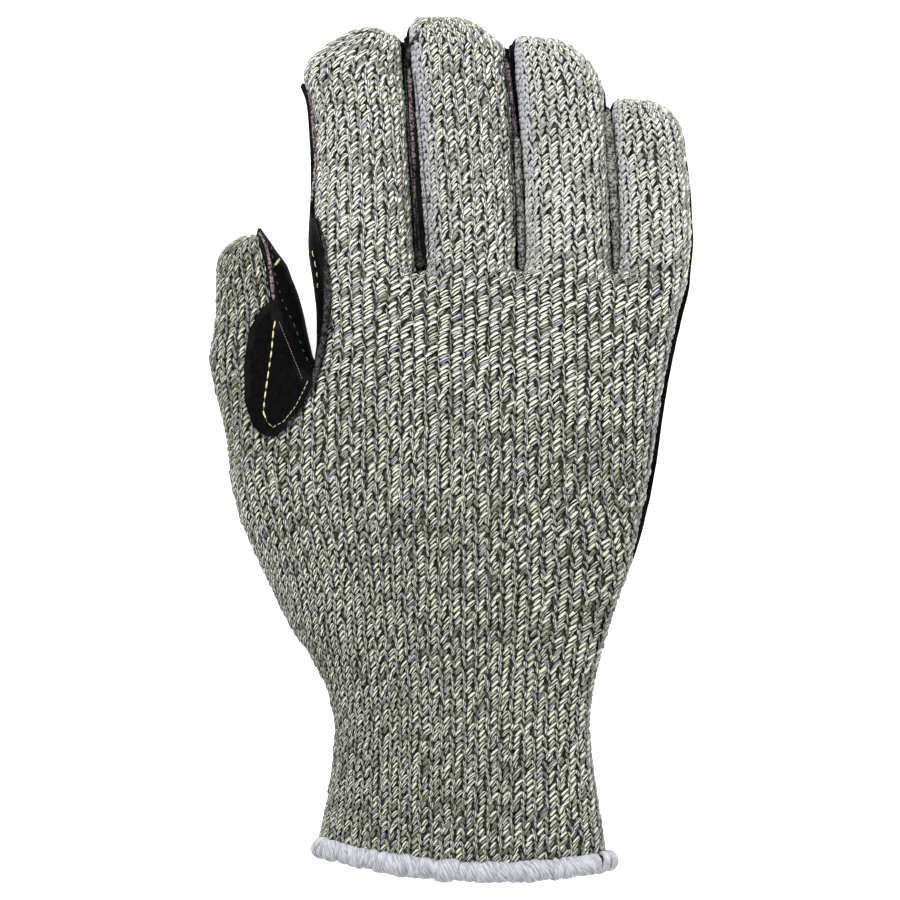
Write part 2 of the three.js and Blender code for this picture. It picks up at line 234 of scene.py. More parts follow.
# %% Read level lines off a mesh
def level_lines(points, triangles, values, level):
    """The closed or open lines along which values equal the level, as arrays of points."""
    over = values[triangles] > level
    links = {}
    for corners, high in zip(triangles[over.any(1) & ~over.all(1)], over[over.any(1) & ~over.all(1)]):
        crossed = [
            (min(corners[i], corners[i - 1]), max(corners[i], corners[i - 1]))
            for i in range(3) if high[i] != high[i - 1]
        ]
        links.setdefault(crossed[0], []).append(crossed[1])
        links.setdefault(crossed[1], []).append(crossed[0])
    lines = []
    while links:
        start = next((key for key, near in links.items() if len(near) == 1), next(iter(links)))
        chain, here = [start], start
        while links.get(here):
            there = links[here].pop()
            links[there].remove(here)
            if not links[here]:
                del links[here]
            chain.append(there)
            here = there
        links.pop(here, None)
        low, high = np.array(chain).T
        share = (level - values[low]) / (values[high] - values[low])
        lines.append(points[low] + share[:, None] * (points[high] - points[low]))
    return lines


LOOK_AT = 60 * MM
across_fingers = level_lines(form_points, form_triangles, form_points[:, 1], LOOK_AT)
print("loops across the fingers:", len(across_fingers))

# %% [markdown]
# A glove is knitted in rounds. Each round is a course, and the columns of stitches that run up the hand
# are wales. So the stitches get a lattice: the form is cut at every course, and each cut is divided into
# wales by the length round it, starting from a line down the middle of its limb. Texture coordinates alone
# could not branch into five fingers, and a lattice of real points lets every stitch follow the surface.

# %% Measure round one course
COURSE = 1.78 * MM
WALE = 3.62 * MM
NEAR_ENOUGH = 0.3 * MM
DROP_FROM = 1 * MM
DEEPEST_DIP = 11 * MM
FACES_UP = 0.25
NORMAL_BLEND = 0.1 * MM
TINY = 1e-9
DOWN = Vector((0, 0, -1))


def unit(vectors):
    """Vectors at a length of one."""
    return vectors / np.maximum(np.linalg.norm(vectors, axis=-1, keepdims=True), TINY)


def lengths_so_far(points):
    """The length along a row of points up to each of them."""
    return np.concatenate([[0], np.cumsum(np.linalg.norm(np.diff(points, axis=0), axis=1))])


def along_run(at, points, lengths):
    """Places at some lengths along a row of points."""
    return np.stack([np.interp(at, lengths, points[:, axis]) for axis in range(points.shape[1])], axis=-1)


def hull_round(line):
    """The points of a course on its convex outline, seen from the fingertips, counterclockwise."""
    order = sorted(range(len(line)), key=lambda i: (line[i, 0], line[i, 2]))

    def half(indices):
        chain = []
        for i in indices:
            while len(chain) > 1:
                first, second = line[chain[-1]] - line[chain[-2]], line[i] - line[chain[-2]]
                if first[0] * second[2] - first[2] * second[0] > 0:
                    break
                chain.pop()
            chain.append(i)
        return chain[:-1]

    return line[half(order) + half(order[::-1])]


def round_from(line, x_start):
    """A course's outline from its top at x_start, over towards +X: points and lengths so far."""
    outline = hull_round(line)[::-1]
    following = np.roll(outline, -1, axis=0)
    crosses = np.nonzero((outline[:, 0] <= x_start) & (following[:, 0] > x_start))[0]
    at = crosses[np.argmax(outline[crosses, 2])]
    share = (x_start - outline[at, 0]) / (following[at, 0] - outline[at, 0])
    first = outline[at] + share * (following[at] - outline[at])
    ordered = np.vstack([first, np.roll(outline, -(at + 1), axis=0), first])
    return ordered, lengths_so_far(ordered[:, [0, 2]])


def dropped_on_form(point):
    """Where a point over a dip comes down on the form, or nothing if it falls into a gap."""
    above = Vector(point) + Vector((0, 0, DROP_FROM))
    location, normal, triangle, _ = form_tree.ray_cast(above, DOWN, DROP_FROM + DEEPEST_DIP)
    return (location, triangle) if location is not None and normal.z > FACES_UP else None


def placed_on_form(points):
    """For each point its place on the form, the soft normal there and how far it moved."""
    middle_z = (points[:, 2].min() + points[:, 2].max()) / 2
    rows = []
    for point in points:
        location, _, triangle, distance = form_tree.find_nearest(Vector(point))
        if distance > NEAR_ENOUGH and point[2] > middle_z and dropped_on_form(point):
            location, triangle = dropped_on_form(point)
            distance = 0
        corners = form_triangles[triangle]
        near = 1 / (np.linalg.norm(form_points[corners] - np.array(location), axis=1) + NORMAL_BLEND)
        rows.append([*location, *unit(near @ form_normals[corners]), distance])
    return np.array(rows)


def course_row(line, x_start, stations):
    """One row of the lattice: points on the form at stations along a course."""
    ordered, lengths = round_from(line, x_start)
    wanted = np.mod(stations(lengths[-1], ordered, lengths), lengths[-1])
    return placed_on_form(along_run(wanted, ordered, lengths))


print("a course is", COURSE / MM, "mm high and a wale", WALE / MM, "mm wide")

# %% [markdown]
# The hand's wales start from a line down its middle and keep one width over the back of the hand. From
# the end of the leather to the cuff they close round the wrist: the same number of wales then shares out
# the shorter round, narrower at the sides, as a tapering glove is knitted. Under the leather nobody sees
# where the two sides meet. Near the cuff the courses bow down in the middle, as the hem does.

# %% Lay out the hand's lattice
HAND_LINE = 8 * MM
WALES_LEFT, WALES_RIGHT = 36, 27
COURSES_FROM = -121.5 * MM
CROTCH = 50.5 * MM
THUMB_CROTCH = 21 * MM
THUMB_SIDE = -38 * MM
THUMB_TOP = 70 * MM
LEATHER_END = -45 * MM
WRIST = -78 * MM
CUFF_WALE = 3.4 * MM
HEM_MIDDLE, HEM_HALF = 4.15 * MM, 40.15 * MM
HEM_BOW, HEM_TILT = 4.2 * MM, -1.9 * MM
BOWED_UP_TO, LEVEL_FROM = -118 * MM, -60 * MM
TAPER_FROM = -5 * MM
UPPER_SIDE = -0.1


def smooth_share(value, low, high):
    """0 up to low, 1 from high, and an eased rise between."""
    t = np.clip((value - low) / (high - low), 0, 1)
    return t * t * (3 - 2 * t)


def hem_bow(x):
    """How far the hem at x lies above its middle."""
    across = (x - HEM_MIDDLE) / HEM_HALF
    return HEM_BOW * across ** 2 + HEM_TILT * across


def hand_stations(y):
    """How far round each wale of the hand lies at a height y."""
    closing = smooth_share(-y, -LEATHER_END, -WRIST)
    taper = smooth_share(-y, -TAPER_FROM, -LEATHER_END)

    def stations(perimeter, ordered, lengths):
        past = np.nonzero((ordered[:-1, 0] > HAND_LINE) & (ordered[1:, 0] <= HAND_LINE))[0]
        under = lengths[past[-1] + 1]
        columns = np.arange(-WALES_LEFT, WALES_RIGHT + 1)
        count = np.where(columns < 0, WALES_LEFT, WALES_RIGHT)
        reach = np.where(columns < 0, perimeter - under, under)
        t = np.abs(columns) / count
        middle_wale = WALE + (CUFF_WALE - WALE) * closing
        shared = reach * (t + (middle_wale * count / reach - 1) * t * (1 - t))
        places = np.abs(columns) * WALE * (1 - taper) + shared * taper
        return places * np.sign(columns)

    return stations


def is_hand(line, level):
    """Whether a course goes round the hand and not round the free thumb."""
    return not (level > THUMB_CROTCH and line[:, 0].max() < THUMB_SIDE)


course_field = form_points[:, 1] - hem_bow(form_points[:, 0]) * (
    1 - smooth_share(form_points[:, 1], BOWED_UP_TO, LEVEL_FROM)
)
hand_levels = np.arange(COURSES_FROM, CROTCH, COURSE)
hand_rows = []
for level in hand_levels:
    lines = level_lines(form_points, form_triangles, course_field, level)
    line = max((line for line in lines if is_hand(line, level)), key=len)
    hand_rows.append(course_row(line, HAND_LINE, hand_stations(level)))
hand_lattice = np.array(hand_rows)
print("hand lattice:", hand_lattice.shape[0], "courses of", hand_lattice.shape[1] - 1, "wales")


def hand_wale_at(level, x):
    """The wale of the hand that passes x on its upper side, as a fraction, at a height."""
    row = np.argmin(np.abs(hand_levels - level))
    upper = np.nonzero(hand_lattice[row, :, 5] > UPPER_SIDE)[0]
    places = hand_lattice[row, upper, 0]
    order = np.argsort(places)
    return np.interp(x, places[order], upper[order])


# %% [markdown]
# Where two fingers part, the fabric dips into the gap and neither the hand's rounds nor the fingers' reach
# its foot. A few short rows, dropped from above onto the form, darn it, as a knitter closes such a hole.

# %% Lay out the darning between the fingers
GAP_MIDDLES = {"index_gap": -8.7, "ring_gap": 19.4, "little_gap": 47.6}
GAP_COLUMNS = np.linspace(-4.6, 4.6, 5)
GAP_ROWS = np.arange(48.9, 52.0, 1.0)
SADDLE_HEIGHT = 18
DROPPED_FROM = 60


def gap_lattice(middle):
    """Rows of places at the foot of the gap between two fingers."""
    rows = []
    for y in GAP_ROWS:
        row = []
        for x in middle + GAP_COLUMNS:
            above = Vector((x, y, DROPPED_FROM)) * MM
            location, _, triangle, _ = form_tree.ray_cast(above, DOWN)
            moved = 0
            if location is None:
                location, _, triangle, moved = form_tree.find_nearest(Vector((x, y, SADDLE_HEIGHT)) * MM)
            normal = unit(form_normals[form_triangles[triangle]].mean(axis=0))
            row.append([*location, *normal, moved])
        rows.append(row)
    return np.array(rows)


lattices = {"hand": hand_lattice}
for gap_name, middle in GAP_MIDDLES.items():
    lattices[gap_name] = gap_lattice(middle)
print("darned gaps:", len(GAP_MIDDLES))

# %% [markdown]
# Each finger and the thumb is a tube of its own, closed by a rounded tip. Its rounds all have the same
# number of wales, so they crowd together towards the tip as on the real one. Up there the surface turns
# away from the y axis, and the courses are placed by angle instead of by height to keep their distance.

# %% Lay out the lattices of the fingers and the thumb
LIMBS = {
    "index": {"x": (-44, -12.4), "wales": 23, "start": CROTCH, "from": 0.5},
    "middle": {"x": (-12.4, 19.4), "wales": 24, "start": CROTCH, "from": 0.5},
    "ring": {"x": (19.4, 46.9), "wales": 24, "start": CROTCH, "from": 0.5},
    "little": {"x": (46.9, 75), "wales": 20, "start": CROTCH, "from": 0.5},
    "thumb": {"x": (-75, -38), "wales": 22, "start": THUMB_CROTCH, "from": 0.04, "below": THUMB_TOP},
}
LIMB_MARGIN = 1.5 * MM
SHORTEST_LINE = 8
TIP_RADIUS = 11 * MM
LAST_ANGLE = math.radians(85)


def limb_heights(start, tip):
    """Heights of the courses: even along the limb, then even by arc over the rounded tip."""
    first = COURSES_FROM + COURSE * math.floor((start - COURSES_FROM) / COURSE)
    along = np.arange(first, tip - TIP_RADIUS, COURSE)
    turn = COURSE / TIP_RADIUS
    lead = (along[-1] + COURSE - (tip - TIP_RADIUS)) / TIP_RADIUS
    angles = np.arange(lead, LAST_ANGLE, turn)
    return np.concatenate([along, tip - TIP_RADIUS + TIP_RADIUS * np.sin(angles)])


def even_stations(wales, phase):
    """Stations that share one round out among a number of wales."""
    return lambda perimeter, ordered, lengths: (np.arange(wales) + phase) * perimeter / wales


def own_lines(limb, levels):
    """The courses that go round this limb alone. Where it joins others, the nearest one stands in."""
    low, high = (edge * MM for edge in limb["x"])
    own = {}
    for level in levels:
        for line in level_lines(form_points, form_triangles, course_field, level):
            if low - LIMB_MARGIN < line[:, 0].min() and line[:, 0].max() < high + LIMB_MARGIN:
                if len(line) > SHORTEST_LINE and len(line) > len(own.get(level, [])):
                    own[level] = line
    lines = []
    for level in levels:
        nearest = min(own, key=lambda other: abs(other - level))
        lines.append(own[nearest] + np.array([0, level - nearest, 0]))
    return lines


def limb_lattice(limb):
    """A limb's rows of places, with the first wale repeated at the end."""
    low, high = (edge * MM for edge in limb["x"])
    inside = (form_points[:, 0] > low) & (form_points[:, 0] < high)
    inside &= (form_points[:, 1] > limb["start"]) & (form_points[:, 1] < limb.get("below", math.inf))
    levels = limb_heights(limb["start"], form_points[inside, 1].max())
    phase = None
    rows = []
    for level, line in zip(levels, own_lines(limb, levels)):
        reference = line[:, 0].min() * (1 - limb["from"]) + line[:, 0].max() * limb["from"]
        if phase is None:
            phase = -hand_wale_at(level, reference) % 1
        rows.append(course_row(line, reference, even_stations(limb["wales"], phase)))
    apex = max(np.nonzero(inside)[0], key=lambda i: form_points[i, 1])
    rows.append(np.tile([*form_points[apex], *form_normals[apex], 0], (limb["wales"], 1)))
    rows = np.array(rows)
    return np.concatenate([rows, rows[:, :1]], axis=1)


for limb_name, limb in LIMBS.items():
    lattices[limb_name] = limb_lattice(limb)
    print(limb_name, "lattice:", lattices[limb_name].shape[0], "courses of", limb["wales"], "wales")

# %% [markdown]
# Every strand in this glove, from a leg of a stitch to a turn of the hem, is one shape: a round bead drawn
# out along a path, thick in the middle and buried at both ends. A sphere of few segments is the template.
# Its height tells how far along the path a vertex lies, and its angle where it sits round the strand.
# Thousands of curve objects would be slow, so the copies are worked out together and joined.

# %% Make the strand's template and the tool that lays strands
MAP_MARGIN = 0.04


def strand_template(sides, rings):
    """A unit sphere's vertices as (share along, angle), with its faces as index lists."""
    ball = bmesh.new()
    bmesh.ops.create_uvsphere(ball, u_segments=sides, v_segments=rings, radius=1)
    ball.verts.index_update()
    along = [round((0.5 - math.asin(max(-1, min(1, v.co.z))) / math.pi) * rings) for v in ball.verts]
    around = [math.atan2(v.co.y, v.co.x) for v in ball.verts]
    faces = [[vertex.index for vertex in face.verts] for face in ball.faces]
    ball.free()
    return {"along": np.array(along), "around": np.array(around), "faces": faces, "rings": rings}


def strand_points(template, centres, normals, widths, heights):
    """Vertices of many strands. Centres and normals hold a row of stations for each strand."""
    tangents = np.gradient(centres, axis=1)
    sides = unit(np.cross(normals, tangents))
    ups = unit(np.cross(tangents, sides))
    at = template["along"]
    across = np.cos(template["around"])[None, :, None] * widths[:, at, None]
    up = np.sin(template["around"])[None, :, None] * heights[:, at, None]
    return centres[:, at] + sides[:, at] * across + ups[:, at] * up


def strand_mesh(name, template, points, values=None):
    """One mesh of many strands, with a pattern map, a bake map and per-strand attributes."""
    count, size = points.shape[:2]
    corners = [len(face) for face in template["faces"]]
    flat = np.concatenate([np.array(face) for face in template["faces"]])
    loops = (flat[None] + size * np.arange(count)[:, None]).ravel()
    starts = np.concatenate([[0], np.cumsum(np.tile(corners, count))[:-1]])
    mesh = bpy.data.meshes.new(name)
    mesh.vertices.add(count * size)
    mesh.vertices.foreach_set("co", points.reshape(-1).astype(np.float32))
    mesh.loops.add(len(loops))
    mesh.loops.foreach_set("vertex_index", loops.astype(np.int32))
    mesh.polygons.add(count * len(corners))
    mesh.polygons.foreach_set("loop_start", starts.astype(np.int32))
    mesh.polygons.foreach_set("use_smooth", np.ones(count * len(corners), bool))
    mesh.update(calc_edges=True)
    own = template_map(template)
    mesh.uv_layers.new(name="Yarn").data.foreach_set("uv", np.tile(own, (count, 1)).ravel())
    across = math.ceil(math.sqrt(count))
    cells = np.stack([np.arange(count) % across, np.arange(count) // across], axis=1)
    shrunk = (cells[:, None] + MAP_MARGIN + (1 - 2 * MAP_MARGIN) * own[None]) / across
    mesh.uv_layers.new(name="OFBake").data.foreach_set("uv", shrunk.ravel())
    for key, strand_values in (values or {}).items():
        attribute = mesh.attributes.new(key, "FLOAT", "POINT")
        attribute.data.foreach_set("value", np.repeat(strand_values, size).astype(np.float32))
    return mesh


def template_map(template):
    """The template's own map, a pair for each face corner: share along and share round."""
    rows = []
    for face in template["faces"]:
        around = np.array([template["around"][i] / (2 * math.pi) % 1 for i in face])
        along = np.array([template["along"][i] / template["rings"] for i in face])
        pole = (along == 0) | (along == 1)
        real = around[~pole]
        if real.max() - real.min() > 0.5:
            around = np.where(around < 0.5, around + 1, around)
        around = np.where(pole, around[~pole].mean(), around)
        rows.append(np.stack([along, np.clip(around, 0, 1)], axis=1))
    return np.concatenate(rows)


LEG = strand_template(5, 4)
print("a leg has", len(LEG["around"]), "vertices and", len(LEG["faces"]), "faces")

# %% [markdown]
# Knit and leather share one border, so where the leather lies is found before the stitches are laid. For
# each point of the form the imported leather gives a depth: how far inside its border the point lies, or how
# far outside, below zero. At the fingertips and along the far edge of the hand the hide is turned under,
# so there the border is held back by how steeply the form faces down. It would show as a black rim else.

# %% Find where the leather lies
FAR_OUT = -3.5 * MM
RAY_FROM, RAY_TO = 0.8 * MM, 2.4 * MM
MID_LAYER = 0.95 * MM
SEAM_OVERLAP = 0.25 * MM
EDGE_HEIGHTS, EDGE_CAPS = [-45, -36, -20, 0, 45, 60], [-0.8, -0.6, -0.05, 0.12, 0.12, 1.0]
INDEX_HEIGHTS, INDEX_CAPS = [59, 69, 104, 107], [1.0, 0.05, 0.05, -0.7]
TIP_CAP = -0.5
TIP_FACING = (0.10, 0.35)
THUMB_BACK, FAR_HALF, INDEX_HALF = (-56.6, -55.4), (26, 34), (-35, -31)
CAP_SCALE = 8
NOT_CAPPED = 20


def turned_under(node):
    """The most that the depth may be, from how the form faces at its tips and at the far edge."""
    x, y = plain_points[:, 0] / MM, plain_points[:, 1] / MM
    facing_tip, facing_up = form_normals[:, 1], form_normals[:, 2]
    tip = (TIP_CAP - facing_up) * CAP_SCALE + (1 - smooth_share(facing_tip, *TIP_FACING)) * NOT_CAPPED
    if node != "palm_leather":
        return (tip + smooth_share(x, *THUMB_BACK) * NOT_CAPPED) * MM
    cap = np.interp(y, EDGE_HEIGHTS, EDGE_CAPS)
    far_edge = (cap - facing_up) * CAP_SCALE + (1 - smooth_share(x, *FAR_HALF)) * NOT_CAPPED
    cap = np.interp(y, INDEX_HEIGHTS, INDEX_CAPS)
    index_side = (cap - facing_up) * CAP_SCALE + smooth_share(x, *INDEX_HALF) * NOT_CAPPED
    return np.minimum(np.minimum(tip, far_edge), index_side) * MM


def depth_inside(node):
    """For each point of the form, how far it lies inside (or outside, below 0) the leather's border."""
    solid = merged_copy(node)
    tree = BVHTree.FromBMesh(solid)
    solid.free()
    low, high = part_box(node)
    near = np.all(
        (plain_points > np.array(low) + FAR_OUT) & (plain_points < np.array(high) - FAR_OUT), axis=1
    )
    depths = np.full(len(plain_points), 2 * FAR_OUT)
    for i in np.nonzero(near)[0]:
        normal = Vector(form_normals[i])
        place = Vector(plain_points[i])
        hit = tree.ray_cast(place - normal * RAY_FROM, normal, RAY_FROM + RAY_TO)[0]
        distance = tree.find_nearest(place + normal * MID_LAYER)[3]
        depths[i] = (distance if hit is not None else -distance) + SEAM_OVERLAP
    return np.minimum(depths, turned_under(node))


leather_depths = {node: depth_inside(node) for node in ("palm_leather", "thumb_leather", "crotch_patch")}
deepest = np.max(list(leather_depths.values()), axis=0)
print("points under leather:", int((deepest > 0).sum()), "of", len(deepest))

# %% [markdown]
# On its right side a knit shows only the two legs of each stitch. The fingers of this glove point up and
# it was knitted from their tips down, so the legs meet at the top. The yarn's twist leans them over: the
# left leg is broad and slants, the right one is slim and steep, and more so on the hand than on the
# fingers. Towards the little finger the left leg leans further and the right one is slimmer still. Both
# ends dive behind the neighbours. A leg's shape is given in wales and courses of the lattice.

# %% Shape the two legs of a stitch
SHAPES = {
    "left": {"foot": (0.02, -0.44), "top": (0.60, 1.13), "bow": 0.06, "width": 0.80, "height": 0.56},
    "right": {"foot": (0.96, -0.45), "top": (0.60, 1.12), "bow": 0.04, "width": 0.57, "height": 0.48},
}
UPRIGHT = {"left": 0.07, "right": -0.05}
THUMB_UPRIGHT = {"left": 0.14, "right": 0.02}
FAR_SIDE_SLANT = 0.10
FAR_SIDE_SLIMMER = {"left": 0.0, "right": 0.22}
RISE = {"left": -0.26, "right": -0.30}
DIVE = 0.68
LEG_TAPER = np.array([0.0, 0.93, 1.0, 0.93, 0.0])


def leg_path(limb_name, side, on_hand, far_side, steps):
    """A leg's run in wales and courses, from how far each stitch lies on the hand and on its far side."""
    shape = SHAPES[side]
    foot = shape["foot"][0] + UPRIGHT[side] * on_hand - (side == "left") * FAR_SIDE_SLANT * far_side
    foot = foot[:, None]
    if limb_name == "thumb":
        foot = foot + THUMB_UPRIGHT[side]
    u = foot + (shape["top"][0] - foot) * steps
    u = u + shape["bow"] * np.sin(math.pi * steps) * (-1 if side == "left" else 1)
    v = shape["foot"][1] + (shape["top"][1] - shape["foot"][1]) * steps + 0 * u
    return u, v


print("a stitch has the legs", ", ".join(SHAPES))

# %% [markdown]
# Over the knuckles the fabric was pulled askew, and its legs lie more slanted there than elsewhere. The
# same legs are turned a little round their middles, the broad ones are drawn out, and the slim ones all
# but vanish behind them. The turn fades out with distance, so that no border shows.

# %% Turn the legs where the fabric was pulled askew
TURNED = {"at": (-2, 35), "reach": (36, 15), "degrees": 9}
TURNED_SLIMMER = {"left": -0.10, "right": 0.80}
TURNED_LONGER = {"left": 0.55, "right": 0.0}


def skew(place):
    """How much the fabric was pulled askew at a place, from 0 to 1."""
    away = (place[:, :2] / MM - np.array(TURNED["at"])) / np.array(TURNED["reach"])
    return np.exp(-0.5 * np.sum(away ** 2, axis=1))[:, None]


def turned(side, u, v, place):
    """Leg paths in wales and courses, drawn out and turned clockwise where the fabric was pulled askew."""
    angle = math.radians(TURNED["degrees"]) * skew(place)
    middle_u, middle_v = u.mean(axis=1, keepdims=True), v.mean(axis=1, keepdims=True)
    x, y = (u - middle_u) * WALE * (1 + TURNED_LONGER[side] * skew(place)), (v - middle_v) * COURSE
    return (
        middle_u + (x * np.cos(angle) + y * np.sin(angle)) / WALE,
        middle_v + (y * np.cos(angle) - x * np.sin(angle)) / COURSE,
    )


print("the knuckles' legs turn by", TURNED["degrees"], "degrees")

# %% [markdown]
# Now the legs are laid through the lattices. Stitches under the leather are left out, and where wales
# crowd together at a fingertip, each stitch takes up two or four of them. Every leg is a little off its
# place and its size, by seeded random numbers, because no two stitches of real yarn come out alike.

# %% Lay the legs of the stitches
COVERED = 1.3 * MM
CROWDED = 0.55
FARTHEST_MOVE = 1.6 * MM
WIDEST_WALE = 2.1 * WALE
TALLEST_COURSE = 2.9 * COURSE
HAND_ENDS = (30 * MM, 62 * MM)
FAR_SIDE = (14 * MM, 32 * MM)
TONE_REACH = {"across": 2.2, "along": 0.7}
SLIMMEST, BROADEST = 0.35, 1.1
OFF_PLACE, OFF_HEIGHT, OFF_SIZE = 0.055, 0.09, 0.12
OFF_SHARES = np.array([1.0, 1.5, 1.2, 2.2]).reshape(4, 1, 1)


def on_lattice(lattice, rows, columns):
    """Points and normals at fractional places of a lattice, straight on past its ends."""
    low_row = np.clip(np.floor(rows).astype(int), 0, lattice.shape[0] - 2)
    low_column = np.clip(np.floor(columns).astype(int), 0, lattice.shape[1] - 2)
    r, c = (rows - low_row)[..., None], (columns - low_column)[..., None]
    near = lattice[low_row, low_column] * (1 - c) + lattice[low_row, low_column + 1] * c
    far = lattice[low_row + 1, low_column] * (1 - c) + lattice[low_row + 1, low_column + 1] * c
    values = near * (1 - r) + far * r
    return values[..., :3], unit(values[..., 3:6])


def depth_at(place):
    """How deep under leather a place on the form lies."""
    _, _, triangle, _ = form_tree.find_nearest(Vector(place))
    return deepest[form_triangles[triangle]].mean()


def uneven(amount, *size):
    """Random factors round 1."""
    return 1 + chance.normal(scale=amount, size=size)


def blurred(values, across, along):
    """Random values softened over a few wales and courses, back at full contrast."""
    for axis, reach in ((0, along), (1, across)):
        half = math.ceil(reach * 2)
        weights = np.exp(-0.5 * (np.arange(-half, half + 1) / reach) ** 2)
        values = np.apply_along_axis(lambda line: np.convolve(line, weights, "same"), axis, values)
    return (values - values.mean()) / values.std()


def visible_stitches(lattice):
    """Rows and wales of the stitches that are sound and not under leather, with their span."""
    across = np.linalg.norm(np.diff(lattice[..., :3], axis=1), axis=2)[:-1]
    along = np.linalg.norm(np.diff(lattice[..., :3], axis=0), axis=2)[:, :-1]
    moved = np.maximum(lattice[:-1, :-1, 6], lattice[1:, 1:, 6])
    sound = (across < WIDEST_WALE) & (along < TALLEST_COURSE) & (moved < FARTHEST_MOVE)
    row, column = np.nonzero(sound)
    middle, facing = on_lattice(lattice, row + 0.5, column + 0.5)
    width = across[row, column]
    span = np.where(width < CROWDED * WALE, 2, 1) * np.where(width < CROWDED * WALE / 2, 2, 1)
    keep = column % span == 0
    keep &= np.array([depth_at(point) < COVERED for point in middle])
    return {
        "row": row[keep], "column": column[keep], "span": span[keep], "width": (width * span)[keep],
        "place": middle[keep], "facing": facing[keep],
    }


def lay_stitches(limb_name):
    """All the visible stitches of one limb: the points of their legs, and what colours each leg."""
    lattice = lattices[limb_name]
    seen = visible_stitches(lattice)
    row, column, span = seen["row"], seen["column"], seen["span"]
    count = len(row)
    tone = blurred(chance.normal(size=lattice.shape[:2]), **TONE_REACH)[row, column]
    on_hand = 1 - smooth_share(seen["place"][:, 1], *HAND_ENDS)
    far_side = smooth_share(seen["place"][:, 0], *FAR_SIDE)
    steps = np.linspace(0, 1, LEG["rings"] + 1)[None]
    pieces = []
    for side, shape in SHAPES.items():
        u, v = turned(side, *leg_path(limb_name, side, on_hand, far_side, steps), seen["place"])
        off = chance.normal(scale=OFF_PLACE, size=(4, count, 1)) * OFF_SHARES
        centres, normals = on_lattice(
            lattice,
            row[:, None] + v + off[0] + off[1] * steps,
            column[:, None] + u * span[:, None] + off[2] + off[3] * steps,
        )
        height = RISE[side] - DIVE * (2 * steps - 1) ** 4 + chance.normal(scale=OFF_HEIGHT, size=(count, 1))
        centres = centres + normals * (height * MM)[..., None]
        size = np.clip(seen["width"] / WALE, SLIMMEST, BROADEST)[:, None] * uneven(OFF_SIZE, count, 1)
        size = size * (1 - TURNED_SLIMMER[side] * skew(seen["place"]))
        size = size * (1 - FAR_SIDE_SLIMMER[side] * far_side[:, None])
        widths = shape["width"] * MM * size * LEG_TAPER
        heights = shape["height"] * MM * np.sqrt(size) * LEG_TAPER
        pieces.append({
            "points": strand_points(LEG, centres, normals, widths, heights),
            "seed": chance.random(count),
            "tone": tone,
            "slim": np.full(count, 1.0 if side == "right" else 0.0),
            "place": seen["place"],
            "facing": seen["facing"],
        })
    return {key: np.concatenate([piece[key] for piece in pieces]) for key in pieces[0]}


stitches = {limb_name: lay_stitches(limb_name) for limb_name in lattices}
darned = [stitches["hand"]] + [stitches.pop(gap_name) for gap_name in GAP_MIDDLES]
stitches["hand"] = {key: np.concatenate([laid[key] for laid in darned]) for key in darned[0]}
for limb_name, laid in stitches.items():
    print(limb_name, "has", len(laid["seed"]), "legs")

# %% [markdown]
# Shader maths is easier to read as formulas. A small class wraps a node's output so that plus, minus and
# times add Math nodes, and one method adds any other node from its type, its settings and what goes into
# its sockets. Colours are only ever mixed, never added up as numbers.

# %% Wrap shader sockets so that formulas make nodes
class Value:
    """A node's output in a formula."""

    def __init__(self, finish, socket):
        self.finish, self.socket = finish, socket

    def math(self, operation, *values):
        sockets = dict(enumerate(values))
        return self.finish.node("Math", {"operation": operation}, sockets)

    def __add__(self, other):
        return self.math("ADD", self, other)

    def __sub__(self, other):
        return self.math("SUBTRACT", self, other)

    def __rsub__(self, other):
        return self.math("SUBTRACT", other, self)

    def __mul__(self, other):
        return self.math("MULTIPLY", self, other)

    def fraction(self):
        return self.math("FRACT", self)

    def between(self, low, high, start=0.0, end=1.0):
        """An eased rise from start to end while this value goes from low to high."""
        sockets = {"Value": self, "From Min": low, "From Max": high, "To Min": start, "To Max": end}
        return self.finish.node("MapRange", {"interpolation_type": "SMOOTHSTEP"}, sockets)

    __radd__ = __add__
    __rmul__ = __mul__


